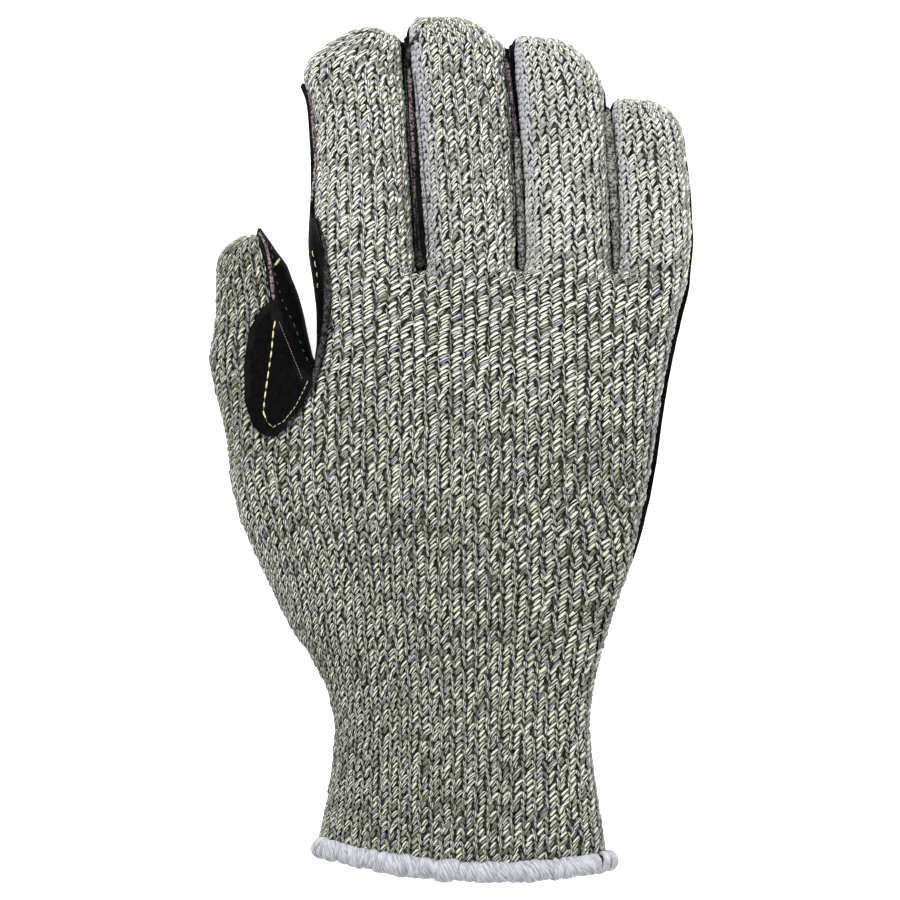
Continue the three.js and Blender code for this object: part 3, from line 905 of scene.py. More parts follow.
class Finish:
    """One material under construction."""

    def __init__(self, name, **constants):
        self.material = bpy.data.materials.new(name)
        self.material.use_nodes = True
        self.tree = self.material.node_tree
        self.surface = self.tree.nodes["Principled BSDF"]
        for socket, value in constants.items():
            self.surface.inputs[socket.replace("_", " ")].default_value = value

    def node(self, kind, settings=None, sockets=None, output=0):
        """Any node: settings come first, then values or links for its sockets."""
        made = self.tree.nodes.new("ShaderNode" + kind)
        for key, value in (settings or {}).items():
            if key == "stops":
                fill_ramp(made.color_ramp, value)
            else:
                setattr(made, key, value)
        for key, value in (sockets or {}).items():
            self.feed(made.inputs[key], value)
        return Value(self, made.outputs[output])

    def feed(self, socket, value):
        """Links a value to a socket, or sets the socket to a number or colour."""
        if isinstance(value, Value):
            self.tree.links.new(value.socket, socket)
        else:
            socket.default_value = value

    def mix(self, share, first, second):
        """Two colours mixed."""
        return self.node("Mix", {"data_type": "RGBA"}, {0: share, 6: first, 7: second}, output=2)

    def attribute(self, name):
        """A number that the mesh holds."""
        return self.node("Attribute", {"attribute_name": name}, output=2)

    def place(self):
        """Where a point lies on the object, in metres."""
        return self.node("TexCoord", output=3)

    def strand_map(self):
        """How far along its strand a point lies, and how far round it, both from 0 to 1."""
        uv = self.node("UVMap", {"uv_map": "Yarn"})
        return [self.node("SeparateXYZ", {}, {0: uv}, output=part) for part in (0, 1)]

    def noise(self, scale, detail=2.0, where=None):
        """Soft noise over the object, or over a given vector."""
        sockets = {"Vector": where or self.place(), "Scale": scale, "Detail": detail}
        return self.node("TexNoise", {}, sockets)

    def done(self, color, roughness=None, height=None, depth=0.0):
        """Feeds the shader: colour, roughness and a bump of a depth in metres."""
        self.feed(self.surface.inputs["Base Color"], color)
        if roughness is not None:
            self.feed(self.surface.inputs["Roughness"], roughness)
        if height is not None:
            bump = self.node("Bump", {}, {"Height": height, "Strength": 1.0, "Distance": depth})
            self.feed(self.surface.inputs["Normal"], bump)
        return self.material


def fill_ramp(ramp, stops):
    """Sets a colour ramp's stops from pairs of place and colour."""
    while len(ramp.elements) > 1:
        ramp.elements.remove(ramp.elements[-1])
    ramp.elements[0].position, ramp.elements[0].color = stops[0]
    for position, color in stops[1:]:
        ramp.elements.new(position).color = color


def srgb(red, green, blue):
    """A screen colour from 0 to 255 as the linear colour that nodes take."""
    parts = [part / 255 for part in (red, green, blue)]
    return (*(p / 12.92 if p <= 0.04045 else ((p + 0.055) / 1.055) ** 2.4 for p in parts), 1.0)


print("mid grey is", round(srgb(128, 128, 128)[0], 3), "in linear light")

# %% [markdown]
# Marled yarn is several thin plies of different colours twisted together: pale yellow-green, near white,
# grey and black. Along a leg each ply shows as a stroke. The map's second number runs round the leg, and
# a ramp over it holds the plies in their order, twice round. A random number from the leg's seed turns
# the yarn, so that another ply faces up, and the slim legs turn their grey plies up more often. An image
# of yarn would need a file and would not follow each leg.

# %% Mix the marled yarn's finish
CREAM, PALE = srgb(243, 245, 224), srgb(235, 236, 232)
GREY, DARK, BLACK = srgb(168, 166, 188), srgb(56, 59, 40), srgb(17, 17, 11)
SLIM_GREY, WASHED_GREY, OLIVE_SHADOW = srgb(160, 158, 174), srgb(176, 176, 185), srgb(50, 54, 16)
PLY_ORDER = [
    (0.00, BLACK), (0.05, BLACK), (0.07, CREAM), (0.25, CREAM), (0.27, BLACK), (0.39, BLACK), (0.42, PALE),
    (0.53, CREAM), (0.55, BLACK), (0.64, BLACK), (0.67, PALE), (0.77, GREY), (0.80, BLACK), (0.88, DARK),
    (0.91, GREY), (0.97, GREY), (1.00, BLACK),
]
TURNS_ROUND = 1.2
TWIST = -0.22
SLIM_TWIST = -0.56
SLIM_TURN = 0.42
FIRST_PLY = 5.12
ODD_FROM = 0.80


def marled_yarn():
    finish = Finish("marled_yarn", Roughness=0.95, Specular_IOR_Level=0.15)
    along, around = finish.strand_map()
    seed = finish.attribute("seed")
    tone = finish.attribute("tone")
    slim = finish.attribute("slim")
    wash = finish.attribute("wash")
    light = finish.attribute("shade")
    key = finish.node("CombineXYZ", {}, {0: seed * 91.7, 1: 0.3, 2: 0.5})
    draw = finish.node("TexWhiteNoise", {"noise_dimensions": "3D"}, {"Vector": key})
    second = finish.node("TexWhiteNoise", {"noise_dimensions": "3D"}, {"Vector": key}, output=1)
    lightness = finish.node("SeparateXYZ", {}, {0: second}, output=2)
    odd = draw.between(ODD_FROM, ODD_FROM + 0.01) * (draw - ODD_FROM) * 5.0
    slim_turn = slim * lightness.between(0.15, 0.35) * SLIM_TURN
    turn = (draw - 0.4) * 0.34 + odd + slim_turn - tone * 0.03
    twist = TWIST + SLIM_TWIST * slim
    cycle = (TURNS_ROUND * around + twist * along + turn + FIRST_PLY).fraction()
    colour = finish.node("ValToRGB", {"stops": PLY_ORDER}, {0: cycle})
    dim = (lightness - tone * 0.09).between(0.68, 0.98)
    colour = finish.mix(dim * 0.72, colour, DARK)
    colour = finish.mix(slim * 0.12, colour, SLIM_GREY)
    colour = finish.mix(slim * lightness.between(0.5, 0.1) * 0.40, colour, DARK)
    # Painted shade: both ends of each leg, where it dives under its neighbours, are mixed towards black.
    lit_middle = along.between(0.10, 0.30) * along.between(0.96, 0.74)
    colour = finish.mix((1 - lit_middle) * 0.60, colour, BLACK)
    fibre = finish.node("CombineXYZ", {}, {0: along * 2.5 + seed * 50.0, 1: around * 24.0, 2: seed * 9.0})
    hairs = finish.noise(2.0, 3.0, fibre)
    colour = finish.mix(hairs.between(0.58, 0.82) * 0.30, colour, PALE)
    colour = finish.mix(hairs.between(0.44, 0.20) * 0.60, colour, BLACK)
    colour = finish.mix(wash * 0.75, colour, WASHED_GREY)
    # Painted light and shade: above 1 the knit is mixed towards pale as painted light, below 1 towards olive
    # dark as painted shade.
    colour = finish.mix(light - 1, colour, PALE)
    colour = finish.mix(1 - light, colour, OLIVE_SHADOW)
    return finish.done(colour, height=hairs, depth=0.10 * MM)


yarn_finish = marled_yarn()
print("finish:", yarn_finish.name)

# %% [markdown]
# The stitches become pieces of the glove, one for each finger, one for the thumb and four for the hand,
# so that no piece is too heavy. Where the surface turns away on one side of a finger the real yarn is
# fuzzed to a pale lavender grey, and each leg there carries that as a wash over its colours.

# %% Join the stitches into pieces
WASHED_SIDES = {"middle": -1, "ring": -1, "little": -1, "index": 0, "thumb": 0, "hand": 1}
WASH_FROM, WASH_RISE = {-1: 0.5, 1: 0.66}, 0.35
WASH_HEIGHTS = (55 * MM, 100 * MM)
LEAST_WASH = 0.45
# Painted light and shade on the knit by height. The thumb and the hand's far edge are painted darker, and
# the ring and little fingers lighter.
SHADE_HEIGHTS = [-125, -30, 0, 30, 60, 125]
SHADE_LEVELS = [0.72, 0.74, 0.79, 0.97, 1.04, 1.05]
THUMB_SHADE = 0.66
OUTER_FINGERS_LIGHTER = 0.13
FAR_EDGE_DARKER = 0.05
HAND_PARTS = {"back": (14, 99), "heel": (-28, 14), "wrist": (-74, -28), "cuff": (-199, -74)}


def washed(laid, side):
    """How far a leg's colours fade: on one steep side of a finger, or at the hand's far edge."""
    if side == 0:
        return 0 * laid["seed"]
    upper = smooth_share(laid["place"][:, 1], *WASH_HEIGHTS)
    turned_away = smooth_share(side * laid["facing"][:, 0], WASH_FROM[side], WASH_FROM[side] + WASH_RISE)
    return turned_away * (LEAST_WASH + (1 - LEAST_WASH) * upper)


def shade(laid):
    """Painted light and shade on the knit: the fingers are painted lightest, the cuff and the thumb darker.
    """
    places = laid["place"] / MM
    light = np.interp(places[:, 1], SHADE_HEIGHTS, SHADE_LEVELS)
    thumb = smooth_share(-places[:, 0], 40, 56) * smooth_share(places[:, 1], -15, 10)
    edge = smooth_share(places[:, 0], 40, 60) * smooth_share(-places[:, 1], -40, 0)
    outer = smooth_share(places[:, 0], 19, 22) * smooth_share(places[:, 1], 46, 60)
    light = light * (1 + (THUMB_SHADE - 1) * thumb) * (1 - FAR_EDGE_DARKER * edge)
    return light * (1 + OUTER_FINGERS_LIGHTER * outer)


def knit_piece(name, laid, chosen, side):
    """One piece of knitting from the chosen legs of a limb."""
    values = {key: laid[key] for key in ("seed", "tone", "slim")}
    values = {**values, "wash": washed(laid, side), "shade": shade(laid)}
    values = {key: value[chosen] for key, value in values.items()}
    piece = linked(name, strand_mesh(name, LEG, laid["points"][chosen], values))
    piece.data.materials.append(yarn_finish)
    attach(piece, "root")
    print(name, "has", int(chosen.sum()), "legs,", len(piece.data.polygons), "faces")


for limb_name, laid in stitches.items():
    if limb_name == "hand":
        height = laid["place"][:, 1] / MM
        for part, (low, high) in HAND_PARTS.items():
            knit_piece("knit_" + part, laid, (height > low) & (height <= high), WASHED_SIDES["hand"])
    else:
        knit_piece("knit_" + limb_name, laid, np.ones(len(laid["seed"]), bool), WASHED_SIDES[limb_name])

# %% [markdown]
# Behind the legs the fabric still has a body: the backs of the loops, their dark colour painted shade. The
# smooth form, cut open at the cuff and drawn in a little, becomes a wall under the stitches. It closes the
# gaps between them, gives the glove its lining side when one looks into the cuff, and stands for the
# imported shell.

# %% Make the body behind the stitches
BODY_DEPTH = 1.05 * MM
BODY_WALL = 1.2 * MM
BODY_VOXEL = 1.6 * MM
BODY_SMOOTHING = 3
BODY_END = -121.2 * MM


def glove_body():
    """The smooth form moved inwards, open at the cuff, with a wall."""
    inner = bmesh.new()
    inner.from_mesh(form)
    for vertex in inner.verts:
        vertex.co -= vertex.normal * BODY_DEPTH
    shape = bmesh.new()
    shape.from_mesh(remeshed(mesh_from(inner, "inner_form"), BODY_VOXEL))
    for _ in range(BODY_SMOOTHING):
        bmesh.ops.smooth_vert(
            shape, verts=shape.verts, factor=0.5, use_axis_x=True, use_axis_y=True, use_axis_z=True
        )
    for vertex in shape.verts:
        vertex.co.y -= hem_bow(vertex.co.x)
    everything = shape.verts[:] + shape.edges[:] + shape.faces[:]
    bmesh.ops.bisect_plane(
        shape, geom=everything, plane_co=(0, BODY_END, 0), plane_no=(0, -1, 0), clear_outer=True
    )
    for vertex in shape.verts:
        vertex.co.y += hem_bow(vertex.co.x)
    bmesh.ops.recalc_face_normals(shape, faces=shape.faces)
    bmesh.ops.solidify(shape, geom=shape.faces, thickness=BODY_WALL)
    return mesh_from(shape, "knit_body")


def lining_painted_shade_finish():
    finish = Finish("knit_backs_painted_shade", Roughness=0.95, Specular_IOR_Level=0.2)
    # Painted shade: the backs of the loops are dark olive grey, so that the gaps between the legs read as
    # shade.
    fleck = finish.noise(900.0, 2.0)
    colour = finish.mix(fleck.between(0.45, 0.62), srgb(40, 42, 34), srgb(92, 94, 84))
    return finish.done(colour, height=fleck, depth=0.3 * MM)


body = linked("knit_body", glove_body())
body.data.materials.append(lining_painted_shade_finish())
body.data.shade_smooth()
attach(body, "root")
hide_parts("knit_shell")
print("body:", len(body.data.polygons), "faces")

# %% [markdown]
# The leather is cut from flat hide and sewn over the knit, so it follows the same form a little further
# out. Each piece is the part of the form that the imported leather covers. The border is found like a level
# line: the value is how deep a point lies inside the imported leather, and a plane cut at zero, on a copy
# whose height is that value, splits the faces exactly along it.

# %% Cut the leather patches out of the form
BORDER_ROUNDS = 5


def cut_patch(depths):
    """The faces of the form where the depth is positive, split along its zero line."""
    shape = bmesh.new()
    shape.from_mesh(form)
    rest = shape.verts.layers.float_vector.new("rest")
    turn = shape.verts.layers.float_vector.new("turn")
    for vertex, depth, normal in zip(shape.verts, depths, form_normals):
        vertex[rest] = vertex.co
        vertex[turn] = normal
        vertex.co = (vertex.co.x, vertex.co.y, depth)
    far = [vertex for vertex in shape.verts if vertex.co.z < FAR_OUT]
    bmesh.ops.delete(shape, geom=far, context="VERTS")
    bmesh.ops.triangulate(shape, faces=shape.faces)
    everything = shape.verts[:] + shape.edges[:] + shape.faces[:]
    bmesh.ops.bisect_plane(shape, geom=everything, plane_co=(0, 0, 0), plane_no=(0, 0, 1), clear_inner=True)
    for vertex in shape.verts:
        vertex.co = vertex[rest]
    return shape, turn


def soften_border(shape):
    """Evens out the cut line by moving each border vertex towards its two neighbours on the border."""
    border = {v: [] for e in shape.edges if e.is_boundary for v in e.verts}
    for edge in shape.edges:
        if edge.is_boundary:
            first, second = edge.verts
            border[first].append(second)
            border[second].append(first)
    paired = {vertex: near for vertex, near in border.items() if len(near) == 2}
    for _ in range(BORDER_ROUNDS):
        moved = {v: v.co * 0.5 + (near[0].co + near[1].co) * 0.25 for v, near in paired.items()}
        for vertex, place in moved.items():
            vertex.co = place


print("patches to cut:", ", ".join(leather_depths))

# %% [markdown]
# A patch becomes hide by being drawn out along the normals of the form, which gives it an upper and a lower
# side and a cut wall all round. Between two fingers the layers bulge until they meet, as soft hide does
# when it is squeezed. Two corners of the hide stand up as small ears where the sewing pulls them. The
# solidify operator would give one thickness everywhere, so the patch is extruded instead.

# %% Give the leather its thickness
LEATHER_LIFT = 0.30 * MM
LEATHER_THICK = 1.2 * MM
CLEAR_START = 0.1 * MM
WIDEST_GAP = 6 * MM
MEETING_FROM = 0.75 * WIDEST_GAP
MEETING_GAP = 0.05 * MM
MERGED = 0.05 * MM
EARS = [
    {"at": (-41.9, 105.4), "reach": 1.5, "by": (-1.3, 0.8)},
    {"at": (-55.6, 61.9), "reach": 1.7, "by": (-0.3, 2.0)},
]
EARS_ABOVE = 7 * MM


def room_outside(place, normal):
    """The leather's thickness at a place: between two fingers the layers bulge until they meet."""
    distance = form_tree.ray_cast(place + normal * CLEAR_START, normal, WIDEST_GAP)[3]
    if distance is None:
        return LEATHER_THICK
    meeting = (distance + CLEAR_START - LEATHER_LIFT) / 2 - MEETING_GAP
    near = 1 - smooth_share(distance, MEETING_FROM, WIDEST_GAP)
    return LEATHER_THICK + (meeting - LEATHER_THICK) * float(near)


def pull_ears(shape):
    """Draws out the two corners of the hide."""
    for vertex in shape.verts:
        for ear in EARS:
            away = (vertex.co.xy / MM - Vector(ear["at"])).length / ear["reach"]
            if vertex.co.z > EARS_ABOVE:
                vertex.co += Vector((*ear["by"], 0)) * MM * math.exp(-away * away)


def mark_edge(shape, upper, inset, cut):
    """Tells the finish which faces are cut walls, and each vertex how far in it lies, in millimetres."""
    walls = [face for face in shape.faces if 0 < sum(v in upper for v in face.verts) < len(face.verts)]
    for face in walls:
        face[cut] = 1.0
    border = [vertex for face in walls for vertex in face.verts]
    near_border = KDTree(len(border))
    for i, vertex in enumerate(border):
        near_border.insert(vertex.co, i)
    near_border.balance()
    for vertex in shape.verts:
        vertex[inset] = near_border.find(vertex.co)[2] / MM


def leather_piece(name, node):
    """A leather piece over the form: patch, border, thickness and what its finish needs to know."""
    shape, turn = cut_patch(leather_depths[node])
    inset = shape.verts.layers.float.new("inset")
    rise = shape.verts.layers.float.new("rise")
    cut = shape.faces.layers.float.new("cut_edge")
    bmesh.ops.remove_doubles(shape, verts=shape.verts, dist=MERGED)
    soften_border(shape)
    for vertex in shape.verts:
        vertex.co += Vector(vertex[turn]).normalized() * LEATHER_LIFT
    made = bmesh.ops.extrude_face_region(shape, geom=shape.faces[:], use_keep_orig=True)
    upper = {item for item in made["geom"] if isinstance(item, bmesh.types.BMVert)}
    for vertex in upper:
        normal = Vector(vertex[turn]).normalized()
        vertex.co += normal * (room_outside(vertex.co, normal) if vertex.co.y > CROTCH else LEATHER_THICK)
        vertex[rise] = 1.0
    pull_ears(shape)
    bmesh.ops.recalc_face_normals(shape, faces=shape.faces)
    mark_edge(shape, upper, inset, cut)
    return mesh_from(shape, name)


print("hide is", LEATHER_THICK / MM, "mm thick")

# %% [markdown]
# The hide is a matt black split leather: a fine grain of small cells, a woolly nap, and a margin near its
# edge that is painted a little paler in patches, a painted sheen. The top of the cut wall shows the fibres,
# and its lower part stays black as painted shade. The finish knows both from values that the mesh holds, so
# no image has to be painted.

# %% Make and finish the leather pieces
SHARP_ANGLE = math.radians(50)
GRAIN_SCALE, NAP_SCALE, SHEEN_SCALE = 1500.0, 700.0, 120.0


def leather_finish():
    finish = Finish("black_leather", Roughness=0.8, Specular_IOR_Level=0.06)
    inset = finish.attribute("inset")
    cut = finish.attribute("cut_edge")
    rise = finish.attribute("rise")
    cells = {"Vector": finish.place(), "Scale": GRAIN_SCALE}
    grain = finish.node("TexVoronoi", {"feature": "DISTANCE_TO_EDGE"}, cells)
    nap = finish.noise(NAP_SCALE, 4.0)
    patchy_sheen = finish.noise(SHEEN_SCALE, 3.0)
    colour = finish.mix(nap.between(0.40, 0.75), srgb(4, 4, 5), srgb(14, 13, 14))
    # Painted sheen: a patchy, paler margin within about 2.4 mm of the hide's border.
    sheen_margin = (1 - inset.between(1.2, 2.4)) * patchy_sheen.between(0.35, 0.65)
    colour = finish.mix(sheen_margin * 0.15, colour, srgb(60, 59, 60))
    # Painted shade: only the top of the cut wall takes the pinkish fibre colour, and its lower part keeps
    # the hide's black.
    edge = cut * rise.between(0.86, 0.99) * nap.between(0.40, 0.62, 0.1, 0.8)
    colour = finish.mix(edge, colour, srgb(104, 90, 92))
    height = grain.between(0.0, 0.10) * 0.5 + nap * 0.6
    return finish.done(colour, height=height, depth=0.14 * MM)


leather_black = leather_finish()
hides = []
for node in leather_depths:
    piece = linked(node + "_hide", leather_piece(node + "_hide", node))
    piece.data.materials.append(leather_black)
    piece.data.shade_smooth()
    piece.data.set_sharp_from_angle(angle=SHARP_ANGLE)
    hides.append(piece)
    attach(piece, "root")
    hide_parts(node)
    print(piece.name, "has", len(piece.data.polygons), "faces")

# %% [markdown]
# The leather is sewn on with pale yellow-green thread. Each stitch is one short strand that comes up out
# of the leather and goes down again. The seams are given as they run seen from above, in millimetres, and
# a ray from above sets each stitch onto the leather under it.

# %% Sew the seams
THREAD = strand_template(6, 6)
DOWN_THE_PATCH = [
    (-50.3, 37.0), (-50.9, 34.4), (-51.4, 28.4), (-52.6, 19.7), (-53.4, 14.0), (-53.7, 10.5), (-52.6, 7.6),
]
SEAMS = {
    "patch": {"run": DOWN_THE_PATCH, "pitch": 2.9, "length": 2.4, "radius": 0.24, "bright": 0.9},
    "patch_core": {"run": DOWN_THE_PATCH, "pitch": 1.2, "length": 1.5, "radius": 0.07, "bright": 0.25},
    "patch_side": {
        "run": [(-52.4, 7.4), (-51.0, 6.1), (-47.9, 7.8), (-44.6, 12.0), (-42.4, 16.4), (-41.0, 19.6)],
        "pitch": 1.6, "length": 1.5, "radius": 0.13, "bright": 0.55,
    },
    "web": {
        "run": [(-49.4, 36.6), (-42.6, 19.7)], "pitch": 0.9, "length": 0.8, "radius": 0.08, "bright": 0.3,
    },
    "loose": {
        "run": [(-50.6, 52.6), (-49.2, 54.8)], "pitch": 2.6, "length": 2.4, "radius": 0.40, "bright": 0.58,
    },
    "thumb": {
        "run": [(-52.0, 59.0), (-50.5, 50.0), (-48.6, 42.8), (-45.1, 35.6), (-42.6, 28.4), (-41.2, 25.0)],
        "pitch": 2.6, "length": 1.3, "radius": 0.13, "bright": 0.05,
    },
    "side": {
        "run": [(-39.9, 57.6), (-38.9, 53.5), (-38.3, 50.0), (-38.0, 44.0)],
        "pitch": 3.1, "length": 2.0, "radius": 0.16, "bright": 0.7,
    },
}
THREAD_LIFT, THREAD_DIVE = 0.22 * MM, 2.2
THREAD_UNEVEN = 0.15
THREAD_ROUNDNESS = 0.4
ABOVE_ALL = 60 * MM

hide_trees = []
for piece in hides:
    solid = bmesh.new()
    solid.from_mesh(piece.data)
    hide_trees.append(BVHTree.FromBMesh(solid))
    solid.free()


def on_top(x, y):
    """The highest leather at a place seen from above, with its normal."""
    hits = [tree.ray_cast(Vector((x, y, ABOVE_ALL)), DOWN) for tree in hide_trees]
    hits = [hit for hit in hits if hit[0] is not None]
    return max(hits, key=lambda hit: hit[0].z)[:2] if hits else None


def sewn_points(seam):
    """The strands of one seam's stitches."""
    run = np.array(seam["run"]) * MM
    lengths = lengths_so_far(run)
    shares = np.linspace(-0.5, 0.5, THREAD["rings"] + 1)
    centres, normals = [], []
    for start in np.arange(0.5, lengths[-1] / MM / seam["pitch"]) * seam["pitch"] * MM:
        at = start + shares * seam["length"] * MM * float(uneven(THREAD_UNEVEN))
        found = [on_top(x, y) for x, y in along_run(at, run, lengths)]
        if all(found):
            centres.append([hit[0] for hit in found])
            normals.append([hit[1] for hit in found])
    centres, normals = np.array(centres), np.array(normals)
    lift = THREAD_LIFT * (1 - THREAD_DIVE * np.abs(2 * shares) ** 3)
    radius = seam["radius"] * MM * np.sin(math.pi * (shares + 0.5)) ** THREAD_ROUNDNESS
    radii = np.tile(radius, (len(centres), 1))
    return strand_points(THREAD, centres + normals * lift[:, None], normals, radii, radii)


def thread_finish():
    finish = Finish("seam_thread", Roughness=0.7, Specular_IOR_Level=0.3)
    stops = [
        (0.0, srgb(62, 56, 50)), (0.35, srgb(150, 134, 140)), (0.5, srgb(168, 170, 128)),
        (1.0, srgb(224, 226, 160)),
    ]
    return finish.done(finish.node("ValToRGB", {"stops": stops}, {0: finish.attribute("bright")}))


sewn = [sewn_points(seam) for seam in SEAMS.values()]
bright = np.concatenate([np.full(len(laid), seam["bright"]) for laid, seam in zip(sewn, SEAMS.values())])
thread = linked("seam_thread", strand_mesh("seam_thread", THREAD, np.concatenate(sewn), {"bright": bright}))
thread.data.materials.append(thread_finish())
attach(thread, "root")
print("seams:", len(thread.data.polygons), "faces")

# %% [markdown]
# Split leather has a woolly cut edge. Where the hide stands up along the index finger and the thumb it
# shows pinkish, and round the patch its grey flecks are painted sheen. Grey strands at the foot of the
# finger gaps are painted shade. Each edge is a soft strand laid along its run, with fine hairs that stick
# out of it. Painting the edge on the flat hide would leave its outline too clean.

# %% Lay the cut edges
RIM = strand_template(6, 48)
HAIR = strand_template(3, 3)
EDGES = {
    "index": {
        "run": [(-41.3, 104.1), (-40.8, 101.8), (-40.0, 97.5), (-39.4, 89.7), (-38.9, 83.1), (-39.3, 77.9),
                (-39.8, 74.4), (-40.1, 71.0)],
        "width": 0.50, "height": 0.5, "pale": 1.0, "hairs": 60, "lift": 2.4, "lowest": 15.5,
    },
    "thumb": {
        "run": [(-55.4, 62.6), (-54.2, 60.6), (-53.1, 58.2), (-52.2, 54.6), (-51.6, 50), (-51.2, 45.8),
                (-50.8, 42.6)],
        "width": 0.55, "height": 0.6, "pale": 0.75, "hairs": 200,
    },
    # Painted sheen: the grey flecks on the patch's rim.
    "patch": {
        "run": [(-52.0, 3.3), (-48.2, 5.0), (-44.5, 9.6), (-41.6, 13.9), (-39.3, 19.6), (-37.6, 26.9),
                (-36.1, 34.1), (-35.3, 42.8), (-35.8, 54.2), (-37.0, 61.4), (-38.2, 67)],
        "width": 1.0, "height": 0.5, "pale": 0.0, "hairs": 400,
    },
    "index_gap_foot": {
        "run": [(-9.4, 57), (-9.0, 54.6), (-8.9, 52.6)],
        "width": 1.2, "height": 0.8, "pale": 0.0, "hairs": 160,
    },
    # Painted shade: grey fuzz at the foot of a finger gap.
    "index_gap_end": {
        "run": [(-9.0, 54.6), (-8.8, 52.6), (-8.4, 50.2)],
        "width": 1.3, "height": 0.8, "pale": 2.0, "hairs": 200,
    },
    # Painted shade: grey fuzz at the foot of a finger gap.
    "ring_gap": {
        "run": [(19.2, 90), (19.6, 80), (20.1, 70), (20.4, 60), (20.5, 51)],
        "width": 1.3, "height": 0.8, "pale": 2.0, "hairs": 500, "lift": 1.6, "lowest": 16,
    },
    # Painted shade: grey fuzz at the foot of a finger gap.
    "little_gap": {
        "run": [(45.2, 98), (46.2, 86), (46.9, 76), (47.5, 66), (47.8, 56), (47.9, 51)],
        "width": 1.4, "height": 0.8, "pale": 1.9, "hairs": 500, "lift": 1.6, "lowest": 16,
    },
    "index_gap": {
        "run": [(-12.0, 110), (-11.4, 100), (-11.0, 90), (-10.2, 80)],
        "width": 0.7, "height": 0.5, "pale": 0.7, "hairs": 400,
    },
    "index_gap_line": {
        "run": [(-11.4, 100), (-10.8, 88), (-10.2, 72)],
        "width": 0.28, "height": 0.3, "pale": 0.8, "hairs": 120,
    },
    "ring_gap_tip": {
        "run": [(15.6, 113), (16.9, 104), (18.2, 93), (19.0, 86)],
        "width": 1.2, "height": 0.6, "pale": 0.45, "hairs": 300, "lift": 0.8, "lowest": 14.5,
    },
    "ring_gap_line": {
        "run": [(16.6, 111), (17.4, 104), (18.2, 95)],
        "width": 0.28, "height": 0.3, "pale": 0.8, "hairs": 60, "lift": 1.6, "lowest": 15.8,
    },
    "middle_tip": {
        "run": [(-13.0, 111), (-11.6, 116), (-8.8, 120.2)],
        "width": 0.70, "height": 0.4, "pale": 0.3, "hairs": 260,
    },
    "index_tip": {
        "run": [(-28.8, 119.4), (-24.0, 120.3), (-19.0, 119.3)],
        "width": 0.28, "height": 0.3, "pale": 0.2, "hairs": 40,
    },
    "index_gap_left": {
        "run": [(-13.2, 112), (-12.6, 98), (-11.8, 86), (-10.4, 70), (-9.9, 54)],
        "width": 0.30, "height": 0.3, "pale": 0.3, "hairs": 600,
    },
    "index_gap_right": {
        "run": [(-10.2, 108), (-9.0, 98), (-8.0, 86), (-6.6, 70), (-6.2, 54)],
        "width": 0.30, "height": 0.3, "pale": 0.2, "hairs": 600,
    },
    "ring_gap_left": {
        "run": [(14.6, 113), (16.0, 104), (17.2, 90), (18.0, 72), (18.6, 54)],
        "width": 0.25, "height": 0.3, "pale": 0.1, "hairs": 400,
    },
}
EDGE_SMOOTHING = 6
HAIR_LENGTH, HAIR_RADIUS = 0.9 * MM, 0.07 * MM
HAIR_LENGTHS = (0.5, 1.2)
HAIR_TAPER = np.array([1.0, 1.0, 0.7, 0.3])
ROOT_SPREAD = np.array([0.5, 0.5, 0.1])
RIM_UNEVEN = 0.12
RIM_ROUNDNESS = 0.2
UP = np.array([0.0, 0.0, 1.0])


def highest(x, y):
    """The height of the glove at a place seen from above, or nothing beside it."""
    hits = [tree.ray_cast(Vector((x, y, ABOVE_ALL)), DOWN)[0] for tree in [*hide_trees, form_tree]]
    return max((hit.z for hit in hits if hit is not None), default=None)


def edge_line(edge):
    """Points along an edge's run, on the glove, and evened out."""
    run = np.array(edge["run"]) * MM
    lengths = lengths_so_far(run)
    flat = along_run(np.linspace(0, lengths[-1], RIM["rings"] + 1), run, lengths)
    heights = [highest(x, y) for x, y in flat]
    known = [i for i, height in enumerate(heights) if height is not None]
    z = np.interp(np.arange(len(flat)), known, [heights[i] for i in known])
    z = np.maximum(z + edge.get("lift", 0) * MM, edge.get("lowest", 0) * MM)
    line = np.column_stack([flat, z])
    for _ in range(EDGE_SMOOTHING):
        line[1:-1] = line[1:-1] * 0.5 + (line[:-2] + line[2:]) * 0.25
    return line


def rim(edge, line):
    """An edge as one strand along its line, uneven in width."""
    rough = uneven(RIM_UNEVEN, len(line))
    taper = np.sin(math.pi * np.linspace(0, 1, len(line))) ** RIM_ROUNDNESS
    return strand_points(
        RIM, line[None], np.tile(UP, (1, len(line), 1)),
        (edge["width"] * MM * rough * taper)[None], (edge["height"] * MM * taper)[None],
    )


def fine_hairs(edge, line):
    """The hairs of an edge: rooted anywhere along its line, and pointing every way but down."""
    roots = line[chance.integers(0, len(line) - 1, edge["hairs"])]
    roots = roots + chance.normal(scale=edge["width"], size=roots.shape) * MM * ROOT_SPREAD
    ways = chance.normal(size=roots.shape) * np.array([1, 1, 0.5]) + UP * 0.5
    ways = unit(ways) * HAIR_LENGTH * chance.uniform(*HAIR_LENGTHS, size=(len(roots), 1))
    centres = roots[:, None] + ways[:, None] * np.linspace(0, 1, HAIR["rings"] + 1)[None, :, None]
    radii = np.tile(HAIR_RADIUS * HAIR_TAPER, (len(roots), 1))
    return strand_points(HAIR, centres, np.tile(UP, (*centres.shape[:2], 1)), radii, radii)


rims, hairs, pale_rims, pale_hairs = [], [], [], []
for edge in EDGES.values():
    line = edge_line(edge)
    rims.append(rim(edge, line))
    hairs.append(fine_hairs(edge, line))
    pale_rims.append(edge["pale"])
    pale_hairs += [edge["pale"]] * edge["hairs"]
print("cut edges:", len(rims), "with", len(pale_hairs), "hairs")

